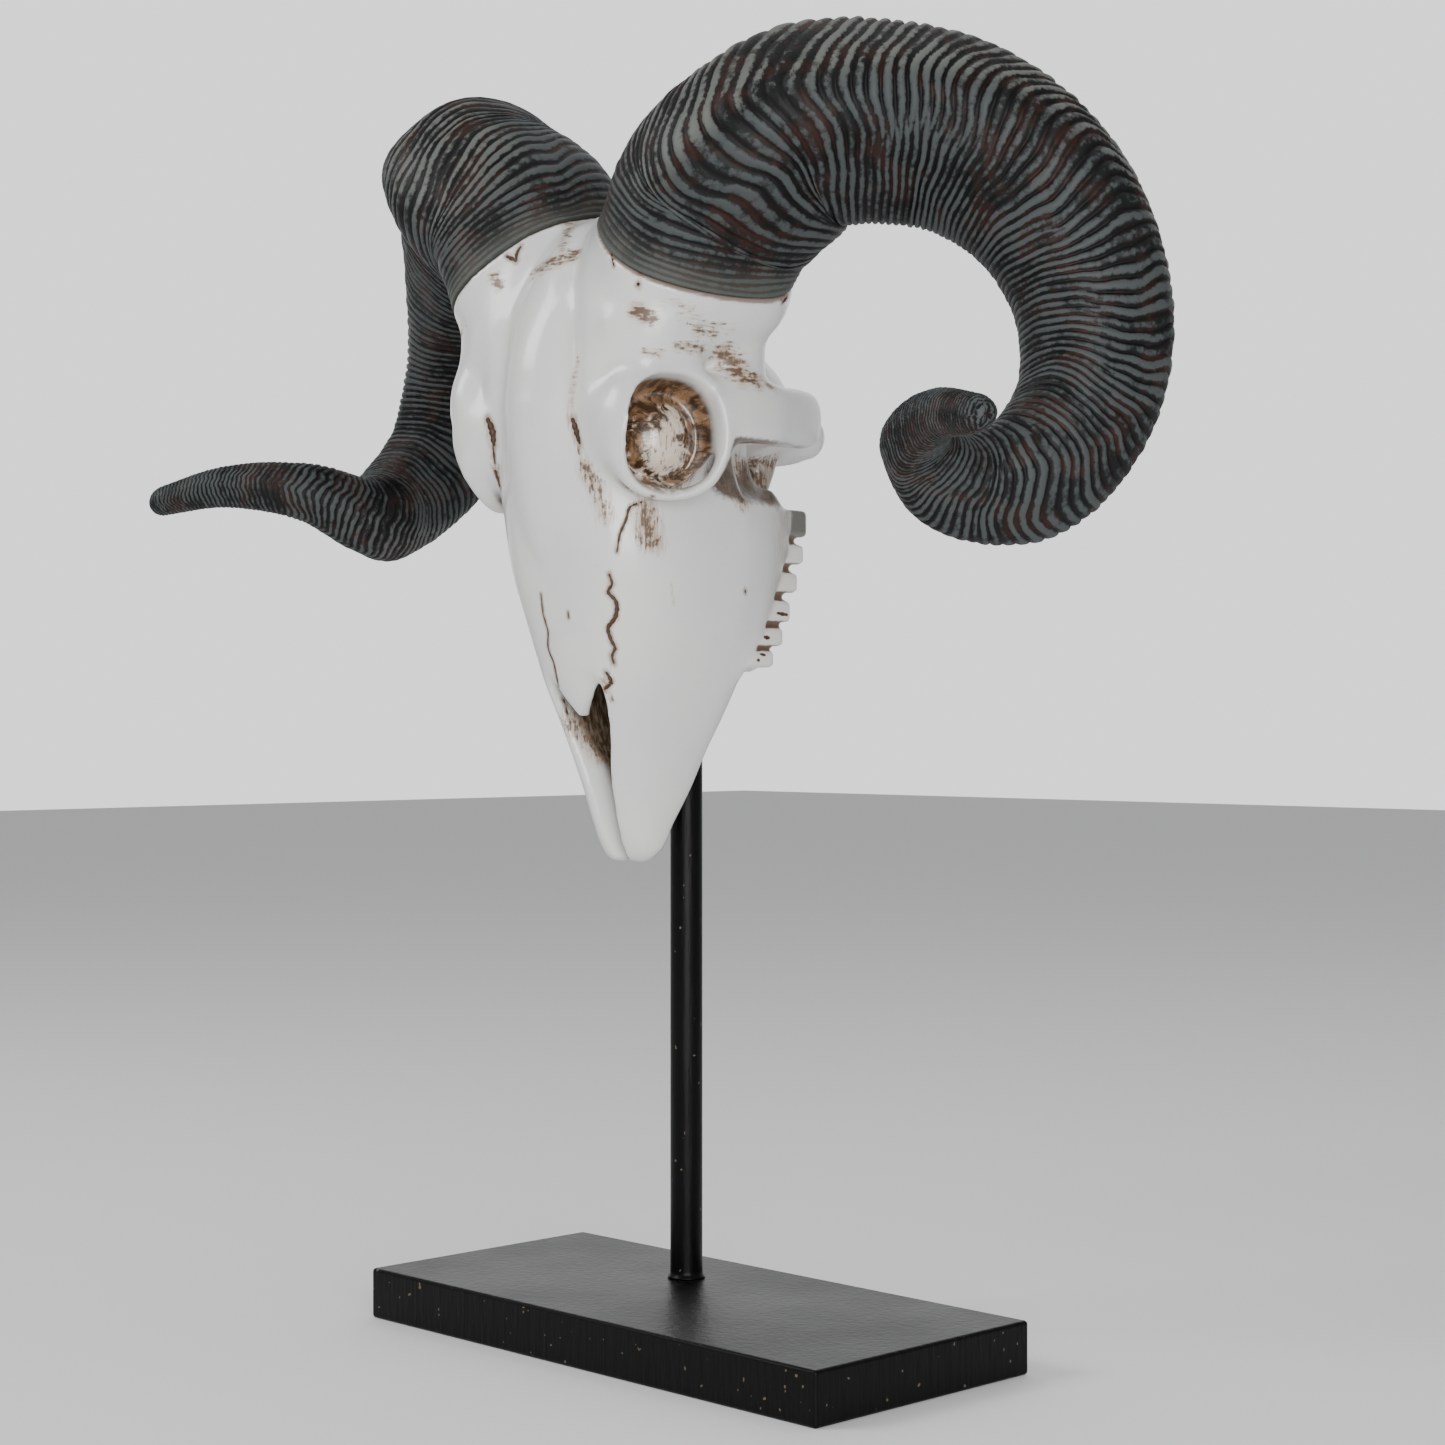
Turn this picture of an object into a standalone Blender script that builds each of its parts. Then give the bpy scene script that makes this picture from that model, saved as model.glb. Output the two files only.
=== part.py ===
"""Ram skull sculpture on a stand: a cast skull with two curled horns, held by a rod on a flat plate.

Metres, +Z up. The origin is the middle of the plate's underside. The face looks along -Y.
Sizes below are in millimetres and are turned into metres where a mesh is made.
"""

import math

import bmesh
import bpy
import numpy as np
from mathutils import Matrix, Vector

MM = 0.001

# Stand: a steel plate and a round rod welded to it, a little off the plate's middle.
PLATE = (272, 125, 22)
PLATE_EDGE = 1.6
ROD_AT = (-23, 22.5)
ROD_RADIUS = 7
ROD_TOP = 322
WELD_RADIUS = 8.2
WELD_HEIGHT = 1.6

# Everything above the stand is symmetric about the rod's x, and its sizes are counted from the rod's axis.
GAP = 0.3

# Horn: centre line from the skull to the tip with the radius there, as (x, y, z, radius).
HORN_LINE = (
    (46, -41.5, 458.6, 39.6), (59, -39, 480.3, 42), (82.5, -38, 494, 41.6),
    (104, -28.5, 505.6, 39.6), (145.8, 7, 500.8, 37), (176.5, 27.8, 473.1, 34.3),
    (194, 35, 430.4, 30), (198.3, 24.5, 390.3, 25.9), (196, -8, 362.5, 22),
    (185.5, -34, 358.5, 17.2), (189, -63, 369.5, 13.5), (219.5, -86, 376, 9.6), (258.5, -105, 371.5, 6.2),
)
# The seam with the bone lies in a plane of its own, square to this direction.
HORN_SEAM = (0.566, -0.115, 0.816)
HORN_SEAM_REACH = 0.12
# The section is round with a keel and two softer corners, as (angle past the keel, width in degrees, height).
HORN_CORNERS = ((105, 34, 0.15), (-68, 30, 0.03))
HORN_OVAL = 0.036
# The keel along the horn, as (share of length, angle from the front of the horn, height).
HORN_KEEL_WIDTH = 25
HORN_KEEL = (
    (0, 20, 0.09), (0.15, 14, 0.13), (0.3, 2, 0.13), (0.4, -20, 0.1), (0.5, -50, 0.09), (0.6, -85, 0.13),
    (0.7, -115, 0.26), (0.78, -128, 0.28), (0.86, -120, 0.15), (1, -110, 0.05),
)
HORN_RIDGES = 46
HORN_SIDES = 22
HORN_RIDGE_HEIGHT = 1.1

# Face: (height, front, back, half width, where it is widest, front squareness, back squareness).
FACE_SECTIONS = (
    (204.5, -38, -28, 10.5, -33, 2.4, 2.2),
    (208, -41, -24.5, 13.5, -31, 2.4, 2.4),
    (220, -47, -17.5, 16.5, -30, 2.4, 2.8),
    (235, -52, -9.5, 20, -27, 2.5, 3.2),
    (251, -57.5, -3.5, 24, -25, 2.6, 3.6),
    (266, -63, 3, 28.2, -23, 2.7, 4.0),
    (280, -68, 8.5, 32.8, -22, 2.8, 4.0),
    (297, -72, 13, 38, -21, 2.9, 4.0),
    (311, -75.5, 16, 42, -21, 2.9, 4.0),
    (326, -79.5, 19, 45.5, -22, 2.9, 4.0),
    (341, -83.5, 21, 46.5, -24, 2.8, 4.0),
    (356, -87, 20, 45, -28, 2.8, 3.4),
    (375, -91, 15, 44, -34, 2.7, 2.8),
    (395, -93, 13, 46, -36, 2.7, 2.6),
    (415, -91.5, 12, 47, -36, 2.6, 2.4),
    (435, -87, 10, 45, -36, 2.5, 2.4),
    (450, -82, 4, 42, -36, 2.5, 2.4),
    (462, -74.5, -6, 36, -36, 2.4, 2.2),
    (474, -64, -16, 24, -36, 2.2, 2.2),
)
FACE_SIDES = 48

# Bone under each horn, read down from the seam: (depth below it, shift of the middle, radius scale).
BOSS_STEPS = (
    (0.3, (0, 0, 0), 1.01), (4, (0.6, 0, 0), 1.02), (10, (1, 0.5, 0), 1.015), (17, (0.5, 0.5, 0), 1.0),
    (23, (-3, -1, 0), 0.98), (31, (-9, -3, 2), 0.94), (44, (-17, -6, 5), 0.86),
)

# How far each horn was bent up or down in the making, as (share of length, height): first +X, then -X.
HORN_LIFTS = {
    1: ((0, 0), (0.55, 0), (0.68, -2), (0.85, -2.2), (1, -1)),
    -1: ((0, 0), (0.2, 2.6), (0.5, 1), (0.62, 3), (0.75, 4.2), (0.85, 0.5), (1, -4.5)),
}

# Eye socket: middle of its rim, the way it faces from straight ahead in degrees, and half its opening.
ORBIT = (58.1, -62.6, 381.7)
ORBIT_FACING = 74
ORBIT_HALF = (22.2, 23.8)
ORBIT_DEPTH = 30
# The rim round it: (angle from the back over the top, distance past the opening, proud, radius).
ORBIT_RIM = (
    (0, 3.4, -1.3, 4.4), (45, 3.4, -1.3, 4.2), (90, 3.2, -1.3, 4), (135, 3, -1.5, 3.8), (180, 3, -2.2, 3.8),
    (205, 2.6, -5, 3.8), (235, 1.6, -9, 4), (270, 1.8, -8.4, 4), (315, 3, -3.6, 4.2), (360, 3.4, -1.3, 4.4),
)
# The ball cast in the socket: how far behind its middle, how far behind the rim, and its radius.
EYE_BALL = (2.5, -29, 20)

# Each cheek tooth from the back of the row: (lowest, highest, how far back it reaches).
TEETH = (
    (344.2, 356, 39), (332.4, 341, 37), (320, 328.6, 33.2), (307.2, 316.4, 28.8), (296.6, 304.6, 24.2),
    (287.4, 294.6, 18.5),
)
TOOTH_WIDTH = 11.5
TOOTH_LENGTH = 24

# Hollow under each cheek bar.
UNDER_BAR = ((62, -24, 368), (54, 0, 368), (46, 18, 370))

# Nose opening, between the two muzzle bones: (height, half width, where its edge starts to flare, back).
NOSE_OPENING = (
    (200, 1.3, -31, -27), (210, 1.5, -33.5, -28), (222, 2.4, -37, -29), (235, 3.4, -40, -29),
    (246, 5.5, -43.5, -27), (256, 9.5, -49, -22), (267, 12.5, -54, -20), (275, 13.8, -58, -24),
    (281, 14.5, -62, -34), (285, 13, -66, -46),
)
NOSE_FLARE = 0.35
# Pointed end of the nasal bones over it: (height, half width, front).
NOSE_TIP = ((304, 17, -74.3), (292, 16, -72), (283, 14.8, -69.4), (275, 9, -66.5), (266, 1.2, -62.5))

# Shallow hollows in the front, on both sides: (line of (x, height), width, depth, where its foot fades in,
# where its top fades out).
HOLLOWS = (
    (((18.5, 445), (21, 405), (22, 380), (24, 345)), 7, 4.6, (350, 394), (418, 446)),
    (((9, 480), (11, 466), (15, 450)), 5, 3, (446, 462), (480, 490)),
)

VOXEL = 2.6
SKULL_TRIANGLES = 7600
BLEND_STEPS = 20
FOREHEAD_STEPS = 55


def clear_scene():
    for old in list(bpy.data.objects):
        bpy.data.objects.remove(old, do_unlink=True)


def new_collection(name):
    made = bpy.data.collections.new(name)
    bpy.context.scene.collection.children.link(made)
    return made


def material(name, colour, roughness, metallic=0.0):
    made = bpy.data.materials.new(name)
    made.use_nodes = True
    shader = made.node_tree.nodes["Principled BSDF"]
    shader.inputs["Base Color"].default_value = (*colour, 1)
    shader.inputs["Roughness"].default_value = roughness
    shader.inputs["Metallic"].default_value = metallic
    return made


def mesh_object(name, bm, collection):
    bmesh.ops.recalc_face_normals(bm, faces=bm.faces)
    mesh = bpy.data.meshes.new(name)
    bm.to_mesh(mesh)
    bm.free()
    made = bpy.data.objects.new(name, mesh)
    collection.objects.link(made)
    return made


def loft(name, rings, collection):
    """A closed skin through rings of equal point counts, given in millimetres."""
    bm = bmesh.new()
    rows = [[bm.verts.new(Vector(p) * MM) for p in ring] for ring in rings]
    count = len(rows[0])
    for low, high in zip(rows, rows[1:]):
        for i in range(count):
            j = (i + 1) % count
            bm.faces.new((low[i], low[j], high[j], high[i]))
    bm.faces.new(rows[0])
    bm.faces.new(rows[-1])
    return mesh_object(name, bm, collection)


def superellipse(x_half, y_half, t, square):
    c, s = math.cos(t), math.sin(t)
    return (
        x_half * math.copysign(abs(c) ** (2 / square), c),
        y_half * math.copysign(abs(s) ** (2 / square), s),
    )


def smooth_table(rows, count):
    """Rows of numbers, read as smooth curves of the first column at evenly spaced places."""
    rows = np.array(rows, float)
    at = np.linspace(rows[0, 0], rows[-1, 0], count)
    slopes = np.gradient(rows, rows[:, 0], axis=0)
    out = []
    for z in at:
        i = min(np.searchsorted(rows[:, 0], z, "right") - 1, len(rows) - 2)
        step = rows[i + 1, 0] - rows[i, 0]
        t = (z - rows[i, 0]) / step
        a = (1 + 2 * t) * (1 - t) ** 2
        b = t * (1 - t) ** 2
        c = t * t * (3 - 2 * t)
        d = t * t * (t - 1)
        out.append(a * rows[i] + b * step * slopes[i] + c * rows[i + 1] + d * step * slopes[i + 1])
    return out


def face_ring(z, front, back, half, widest, front_square, back_square):
    ring = []
    for i in range(FACE_SIDES):
        t = 2 * math.pi * i / FACE_SIDES
        behind = t < math.pi
        depth = back - widest if behind else widest - front
        x, y = superellipse(half, depth, t, back_square if behind else front_square)
        ring.append((x, widest + y, z))
    return ring


def make_face(collection):
    rows = smooth_table(FACE_SECTIONS, 60)
    return loft("face", [face_ring(*row) for row in rows], collection)


def ball(name, centre, radii, collection, turn=(0, 0, 0)):
    """An ellipsoid, turned by angles in degrees."""
    bm = bmesh.new()
    bmesh.ops.create_uvsphere(bm, u_segments=32, v_segments=20, radius=1)
    place = Matrix.Translation(Vector(centre) * MM)
    for axis, angle in zip("ZYX", reversed(turn)):
        place = place @ Matrix.Rotation(math.radians(angle), 4, axis)
    place = place @ Matrix.Diagonal((*(r * MM for r in radii), 1))
    bm.transform(place)
    return mesh_object(name, bm, collection)


def spline(points, count):
    """A smooth line through points, read at evenly spaced lengths, as (rows, directions, length)."""
    points = np.array(points, float)
    step = np.r_[0, np.cumsum(np.linalg.norm(np.diff(points[:, :3], axis=0), axis=1) ** 0.5)]
    slopes = np.gradient(points, step, axis=0)
    fine = []
    for i in range(len(points) - 1):
        width = step[i + 1] - step[i]
        for t in np.linspace(0, 1, 40, endpoint=False):
            fine.append(
                (1 + 2 * t) * (1 - t) ** 2 * points[i]
                + t * (1 - t) ** 2 * width * slopes[i]
                + t * t * (3 - 2 * t) * points[i + 1]
                + t * t * (t - 1) * width * slopes[i + 1]
            )
    fine = np.array(fine + [points[-1]])
    length = np.r_[0, np.cumsum(np.linalg.norm(np.diff(fine[:, :3], axis=0), axis=1))]
    at = np.linspace(0, length[-1], count)
    rows = np.stack([np.interp(at, length, fine[:, k]) for k in range(fine.shape[1])], axis=1)
    directions = np.gradient(rows[:, :3], axis=0)
    directions /= np.linalg.norm(directions, axis=1)[:, None]
    return rows, directions, length[-1]


def tube(name, points, radii, collection, sides=20, count=24, flat=1.0, flat_axis=(0, 0, 1), square=2.0):
    """A bar through points, its radius read along it, squeezed by flat across flat_axis."""
    places, directions, _ = spline(points, count)
    radius = np.interp(np.linspace(0, 1, count), np.linspace(0, 1, len(radii)), radii)
    rings = []
    for place, along, r in zip(places, directions, radius):
        up = Vector(flat_axis) - Vector(along) * Vector(flat_axis).dot(Vector(along))
        up.normalize()
        side = Vector(along).cross(up)
        ring = []
        for i in range(sides):
            high, wide = superellipse(r, r * flat, 2 * math.pi * i / sides, square)
            ring.append(Vector(place) + up * high + side * wide)
        rings.append(ring)
    return loft(name, rings, collection)


def orbit_directions():
    facing = Vector((math.sin(math.radians(ORBIT_FACING)), -math.cos(math.radians(ORBIT_FACING)), 0.05))
    facing.normalize()
    back = Vector((0, 0, 1)).cross(facing)
    back.normalize()
    return back, facing.cross(back), facing


def orbit_point(angle, across, up, out=0.0):
    """A place on the socket's rim plane, in millimetres, for the socket at +X."""
    back, high, facing = orbit_directions()
    x, z = superellipse(across, up, angle, 2.1)
    return Vector(ORBIT) + back * x + high * z + facing * out


def both_sides(make, name, *args, **more):
    """Calls make for the +X side and adds its mirror image."""
    right = make(name + "_a", *args, **more)
    left = right.copy()
    left.data = right.data.copy()
    left.name = name + "_b"
    left.data.transform(Matrix.Scale(-1, 4, (1, 0, 0)))
    left.data.flip_normals()
    right.users_collection[0].objects.link(left)
    return right, left


def closed_tube(name, rows, collection, sides=14):
    """A ring-shaped bar through a closed run of (place, radius)."""
    count = len(rows)
    middle = sum((place for place, _ in rows), Vector()) / count
    bm = bmesh.new()
    loops = []
    for i, (place, radius) in enumerate(rows):
        along = (rows[(i + 1) % count][0] - rows[i - 1][0]).normalized()
        out = place - middle
        out = (out - along * out.dot(along)).normalized()
        side = along.cross(out)
        loop = []
        for k in range(sides):
            t = 2 * math.pi * k / sides
            loop.append(bm.verts.new((place + (out * math.cos(t) + side * math.sin(t)) * radius) * MM))
        loops.append(loop)
    for i in range(count):
        low, high = loops[i], loops[(i + 1) % count]
        for k in range(sides):
            j = (k + 1) % sides
            bm.faces.new((low[k], low[j], high[j], high[k]))
    return mesh_object(name, bm, collection)


def orbit_rim():
    table = np.array(ORBIT_RIM, float)
    rows = []
    for i in range(44):
        angle = 360 * i / 44
        past, out, radius = (np.interp(angle, table[:, 0], table[:, k]) for k in (1, 2, 3))
        place = orbit_point(math.radians(angle), ORBIT_HALF[0] + past, ORBIT_HALF[1] + past, out)
        rows.append((place, radius))
    return rows


def boss_rings():
    """Rings that carry the horn's seam down into the skull."""
    seam = [Vector(p) for p in horn_rings(ridged=False)[0]]
    normal = Vector(HORN_SEAM).normalized()
    middle = sum(seam, Vector()) / len(seam)
    return [
        [middle + (p - middle) * scale + Vector(shift) - normal * depth for p in seam]
        for depth, shift, scale in BOSS_STEPS
    ]


def make_skull_pieces(pieces):
    make_face(pieces)
    # Nasal and frontal bones: a raised band down the middle of the face.
    tube(
        "nose_band",
        ((0, -50, 456), (0, -62, 440), (0, -73.5, 415), (0, -74.5, 390), (0, -69.5, 360), (0, -61.5, 330),
         (0, -57.5, 300), (0, -57, 286), (0, -57, 276)),
        (16, 20, 22, 22, 22, 21, 18, 15, 12), pieces, sides=28, count=40,
    )
    # The wedge of bone that rises between the horns.
    tube(
        "wedge", ((0, -64, 436), (0, -56, 455), (0, -48, 471), (0, -44, 481)), (22, 17, 11, 6), pieces,
        flat=0.8, flat_axis=(0, -1, 0),
    )
    both_sides(loft, "boss", boss_rings(), pieces)
    both_sides(ball, "brow", (38, -60, 424), (29, 27, 22), pieces)
    # The socket on the -X side is cast with a heavier, higher brow.
    ball("heavy_brow", (-49.5, -68.5, 401), (14, 22, 24), pieces)
    ball("braincase", (0, -6, 424), (38, 37, 38), pieces)
    tube("crown", ((0, -30, 452), (0, -6, 440), (0, 14, 424)), (30, 32, 30), pieces)
    tube("occiput", ((0, 10, 405), (0, 40, 396), (0, 62, 393), (0, 73, 393)), (30, 26, 17, 11.5), pieces,
         flat=1.15, sides=24)
    both_sides(ball, "condyle", (13, 62, 391), (9, 9, 11), pieces)
    # Eye sockets: a cup with a rounded rim.
    both_sides(ball, "socket_cup", (42, -60.5, 386), (27, 29, 27), pieces)
    both_sides(closed_tube, "rim", orbit_rim(), pieces)
    # Cheek bar from the socket back to a blunt end, carried by the bone behind the ear.
    both_sides(
        tube, "cheek_bar", ((60, -44, 389), (61, -26, 391), (59, -6, 392.5), (53, 13, 393), (46.5, 28.5, 393)),
        (12, 12.4, 13, 13.6, 13.6), pieces, flat=0.6, square=3.2,
    )
    both_sides(tube, "temple_wall", ((48, -24, 444), (49, -24, 420), (50, -26, 396)), (18, 16.5, 17), pieces)
    both_sides(tube, "ear_bone", ((46, 22, 392), (30, 19, 393), (12, 14, 400)), (11, 11, 13), pieces)
    # Tooth sockets and the wings behind the palate.
    both_sides(
        tube, "tooth_bed",
        ((28, -3, 284), (31, 3, 300), (33, 9, 320), (33, 14, 335), (32, 18, 350), (27, 19, 364)),
        (6.5, 7.5, 9, 10.3, 10, 8), pieces, flat=0.8,
    )
    both_sides(
        tube, "palate_wing", ((16, 16, 345), (14, 28, 362), (14, 36, 380)), (8, 6.5, 7), pieces, flat=0.6,
    )


def make_teeth(pieces):
    for low, high, back in TEETH:
        bm = bmesh.new()
        bmesh.ops.create_cube(bm, size=1)
        bm.transform(
            Matrix.Translation(Vector((30.5, back - TOOTH_LENGTH / 2, (low + high) / 2)) * MM)
            @ Matrix.Diagonal((TOOTH_WIDTH * MM, TOOTH_LENGTH * MM, (high - low) * MM, 1))
        )
        bmesh.ops.bevel(bm, geom=bm.edges[:], offset=1.4 * MM, segments=1, affect="EDGES", profile=0.5, material=-1)
        right = mesh_object("tooth_a", bm, pieces)
        left = right.copy()
        left.data = right.data.copy()
        left.data.transform(Matrix.Scale(-1, 4, (1, 0, 0)))
        left.data.flip_normals()
        pieces.objects.link(left)


def make_skull_cutters(cutters):
    # Eye socket hollows.
    rings = []
    for k in range(9):
        share = k / 8
        shrink = math.sqrt(1 - (0.96 * share) ** 2.6)
        across, up = ORBIT_HALF[0] * shrink, ORBIT_HALF[1] * shrink
        out = 14 - (14 + ORBIT_DEPTH) * share
        rings.append([orbit_point(2 * math.pi * i / 28, across, up, out) for i in range(28)])
    both_sides(loft, "socket_hollow", rings, cutters)
    rings = []
    for z, half, edge, back in smooth_table(NOSE_OPENING, 16):
        wide = half + NOSE_FLARE * (edge + 95)
        side = ((wide, -95), (half, edge), (half, back - 2), (0.6 * half, back))
        rings.append([(x, y, z) for x, y in side] + [(-x, y, z) for x, y in reversed(side)])
    loft("nose_opening", rings, cutters)
    # Palate hollow between the tooth rows.
    tube("palate_hollow", ((0, 26, 282), (0, 33, 306), (0, 38, 335), (0, 40, 362)), (9, 15, 18, 15), cutters)
    # Temple hollows behind the sockets, and the hollow under each cheek bar.
    both_sides(tube, "temple", ((44, -6, 396), (43, -3, 380), (44, 3, 362)), (8, 10, 11), cutters)
    both_sides(tube, "under_bar", UNDER_BAR, (11, 12, 12), cutters)
    tube("foramen", ((0, 66, 393), (0, 95, 393)), (6.5, 6.5), cutters, count=3)


def make_nose_tip(pieces):
    """The pointed end of the nasal bones, which overhangs the opening."""
    rings = []
    deep = 3.6
    for z, half, front in NOSE_TIP:
        ring = []
        for i in range(20):
            x, y = superellipse(half, deep, 2 * math.pi * i / 20, 2.6)
            ring.append((x, front + deep + y + 0.012 * x * x, z))
        rings.append(ring)
    loft("nose_tip", rings, pieces)


def horn_frames(count):
    """Places along the horn with the radius there, and the directions along, to the front and to the side."""
    rows, directions, _ = spline(HORN_LINE, count)
    front = Vector((0, -1, 0))
    frames = []
    for row, along in zip(rows, directions):
        along = Vector(along)
        front = (front - along * front.dot(along)).normalized()
        frames.append((Vector(row[:3]), row[3], along, front, along.cross(front)))
    return frames


def section_radius(angle, keel_height):
    """The section's radius, as a share of the round one, at an angle past the keel in degrees."""
    total = 1 + HORN_OVAL * math.cos(2 * math.radians(angle))
    for at, width, height in ((0, HORN_KEEL_WIDTH, keel_height), *HORN_CORNERS):
        turn = (angle - at + 180) % 360 - 180
        total += height * math.exp(-((turn / width) ** 2))
    return total


def horn_rings(grow=0.0, ridged=True):
    count = 2 * HORN_RIDGES + 1
    keel_at, keel_angle, keel_height = zip(*HORN_KEEL)
    seam = Vector(HORN_SEAM).normalized()
    rings = []
    for i, (place, radius, along, front, side) in enumerate(horn_frames(count)):
        share = i / (count - 1)
        keel = np.interp(share, keel_at, keel_angle)
        height = np.interp(share, keel_at, keel_height)
        ridge = HORN_RIDGE_HEIGHT * (1 - 0.6 * share) * (i % 2 - 1) if ridged else 0
        if i == count - 1:
            radius *= 0.6
        lean = max(0.0, 1 - share / HORN_SEAM_REACH)
        ring = []
        for k in range(HORN_SIDES):
            turn = 360 * k / HORN_SIDES
            r = (radius + ridge) * section_radius(turn - keel, height) + grow
            t = math.radians(turn)
            out = front * (r * math.cos(t)) + side * (r * math.sin(t))
            ring.append(place + out - along * (lean * out.dot(seam) / along.dot(seam)))
        rings.append(ring)
    return rings


def make_horn(name, rings, side, collection):
    """The horn at +X (side 1) or at -X (side -1), as a closed skin."""
    at, lift = zip(*HORN_LIFTS[side])
    turned = []
    for i, ring in enumerate(rings):
        up = np.interp(i / (2 * HORN_RIDGES), at, lift)
        turned.append([(side * p[0], p[1], p[2] + up) for p in ring])
    return loft(name, turned, collection)


def apply_modifiers(obj):
    bpy.context.view_layer.update()
    graph = bpy.context.evaluated_depsgraph_get()
    made = bpy.data.meshes.new_from_object(obj.evaluated_get(graph))
    obj.modifiers.clear()
    old = obj.data
    obj.data = made
    bpy.data.meshes.remove(old)


def boolean(obj, operation, collection, solver="MANIFOLD"):
    modifier = obj.modifiers.new(operation.lower(), "BOOLEAN")
    modifier.operation = operation
    modifier.operand_type = "COLLECTION"
    modifier.collection = collection
    modifier.solver = solver
    apply_modifiers(obj)


def remove_all(collection):
    for old in list(collection.objects):
        bpy.data.objects.remove(old, do_unlink=True)


def keep_largest(obj):
    """Leaves only the largest closed surface."""
    bm = bmesh.new()
    bm.from_mesh(obj.data)
    left = set(bm.verts)
    groups = []
    while left:
        first = left.pop()
        group = {first}
        edge = [first]
        while edge:
            for link in edge.pop().link_edges:
                for vert in link.verts:
                    if vert not in group:
                        group.add(vert)
                        edge.append(vert)
        left -= group
        groups.append(group)
    largest = max(groups, key=len)
    bmesh.ops.delete(bm, geom=[v for v in bm.verts if v not in largest], context="VERTS")
    bm.to_mesh(obj.data)
    bm.free()


def line_distance(points, line):
    """How far each point is from the nearest stretch of a line, in the plane or in space."""
    nearest = np.full(len(points), np.inf)
    line = np.array(line, float)
    for start, end in zip(line, line[1:]):
        along = end - start
        share = np.clip((points - start) @ along / (along @ along), 0, 1)
        nearest = np.minimum(nearest, np.linalg.norm(points - start - share[:, None] * along, axis=1))
    return nearest


def soft_step(values, low, high):
    t = np.clip((values - low) / (high - low), 0, 1)
    return t * t * (3 - 2 * t)


def blend_bones(obj):
    """Rounds the casting where its bones run into each other, but not the lips of the sockets or the teeth."""
    points = np.array([vert.co for vert in obj.data.vertices]) / MM
    ends = np.array([edge.vertices[:] for edge in obj.data.edges])
    one, two = np.concatenate([ends, ends[:, ::-1]]).T
    count = np.maximum(np.bincount(one, minlength=len(points)), 1)
    place = points * (1, 1, 1)
    place[:, 0] = np.abs(place[:, 0])
    across, high, out = ((place - ORBIT) @ np.array(orbit_directions()).T).T
    from_axis = np.hypot(across / ORBIT_HALF[0], high / ORBIT_HALF[1])
    above_seam = (place - HORN_LINE[0][:3]) @ np.array(Vector(HORN_SEAM).normalized())
    share = soft_step(place[:, 2], 362, 372) * (1 - 0.75 * soft_step(place[:, 1], -38, -26))
    share *= 1 - (1 - soft_step(from_axis, 1.08, 1.3)) * (out > -42)
    share *= 1 - 0.97 * soft_step(above_seam, -6, -2)
    forehead = soft_step(place[:, 2], 398, 412) * soft_step(-place[:, 1], 30, 42)
    forehead *= 1 - soft_step(place[:, 0], 30, 44)
    forehead *= 1 - 0.7 * soft_step(place[:, 2], 466, 476)
    for step in range(BLEND_STEPS + FOREHEAD_STEPS):
        near = np.stack([np.bincount(one, column[two]) / count for column in points.T], axis=1)
        factor = 0.6 * share * (1 if step < BLEND_STEPS else forehead)
        points += factor[:, None] * (near - points)
    obj.data.vertices.foreach_set("co", (points * MM).astype(np.float32).ravel())


def press_hollows(obj):
    """Pushes the shallow hollows into the front."""
    points = np.array([vert.co for vert in obj.data.vertices]) / MM
    front = points[:, 1] < -38
    flat = np.stack([np.abs(points[:, 0]), points[:, 2]], axis=1)
    for line, width, depth, foot, top in HOLLOWS:
        fade = soft_step(points[:, 2], *foot) * (1 - soft_step(points[:, 2], *top))
        points[:, 1] += front * fade * depth * np.exp(-((line_distance(flat, line) / width) ** 2))
    obj.data.vertices.foreach_set("co", (points * MM).astype(np.float32).ravel())


def move(obj, offset):
    obj.data.transform(Matrix.Translation(Vector(offset) * MM))


def make_skull(sculpture):
    pieces = new_collection("skull_pieces")
    cutters = new_collection("skull_cutters")
    make_skull_pieces(pieces)
    make_teeth(pieces)
    skull = pieces.objects["face"]
    skull.name = "skull"
    pieces.objects.unlink(skull)
    sculpture.objects.link(skull)
    boolean(skull, "UNION", pieces)
    remove_all(pieces)
    make_skull_cutters(cutters)
    boolean(skull, "DIFFERENCE", cutters)
    remove_all(cutters)
    make_nose_tip(pieces)
    both_sides(ball, "eye_ball", orbit_point(0, EYE_BALL[0], 0, EYE_BALL[1]), (EYE_BALL[2],) * 3, pieces)
    boolean(skull, "UNION", pieces)
    remove_all(pieces)
    keep_largest(skull)
    remesh = skull.modifiers.new("remesh", "REMESH")
    remesh.mode = "VOXEL"
    remesh.voxel_size = VOXEL * MM
    smooth = skull.modifiers.new("smooth", "SMOOTH")
    smooth.factor = 0.5
    smooth.iterations = 3
    apply_modifiers(skull)
    blend_bones(skull)
    press_hollows(skull)
    decimate = skull.modifiers.new("decimate", "DECIMATE")
    decimate.ratio = min(1.0, SKULL_TRIANGLES / (2 * len(skull.data.polygons)))
    apply_modifiers(skull)
    keep_largest(skull)
    seats = new_collection("seats")
    grown = horn_rings(grow=GAP, ridged=False)[:30]
    grown[0] = [p - Vector(HORN_SEAM) * GAP for p in grown[0]]
    for side, tag in ((1, "a"), (-1, "b")):
        make_horn("horn_seat_" + tag, grown, side, seats)
    loft("rod_seat", round_rings(((ROD_RADIUS + GAP, 150), (ROD_RADIUS + GAP, ROD_TOP + GAP)), 24), seats)
    boolean(skull, "DIFFERENCE", seats)
    remove_all(seats)
    keep_largest(skull)
    move(skull, (*ROD_AT, 0))
    return skull


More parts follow.
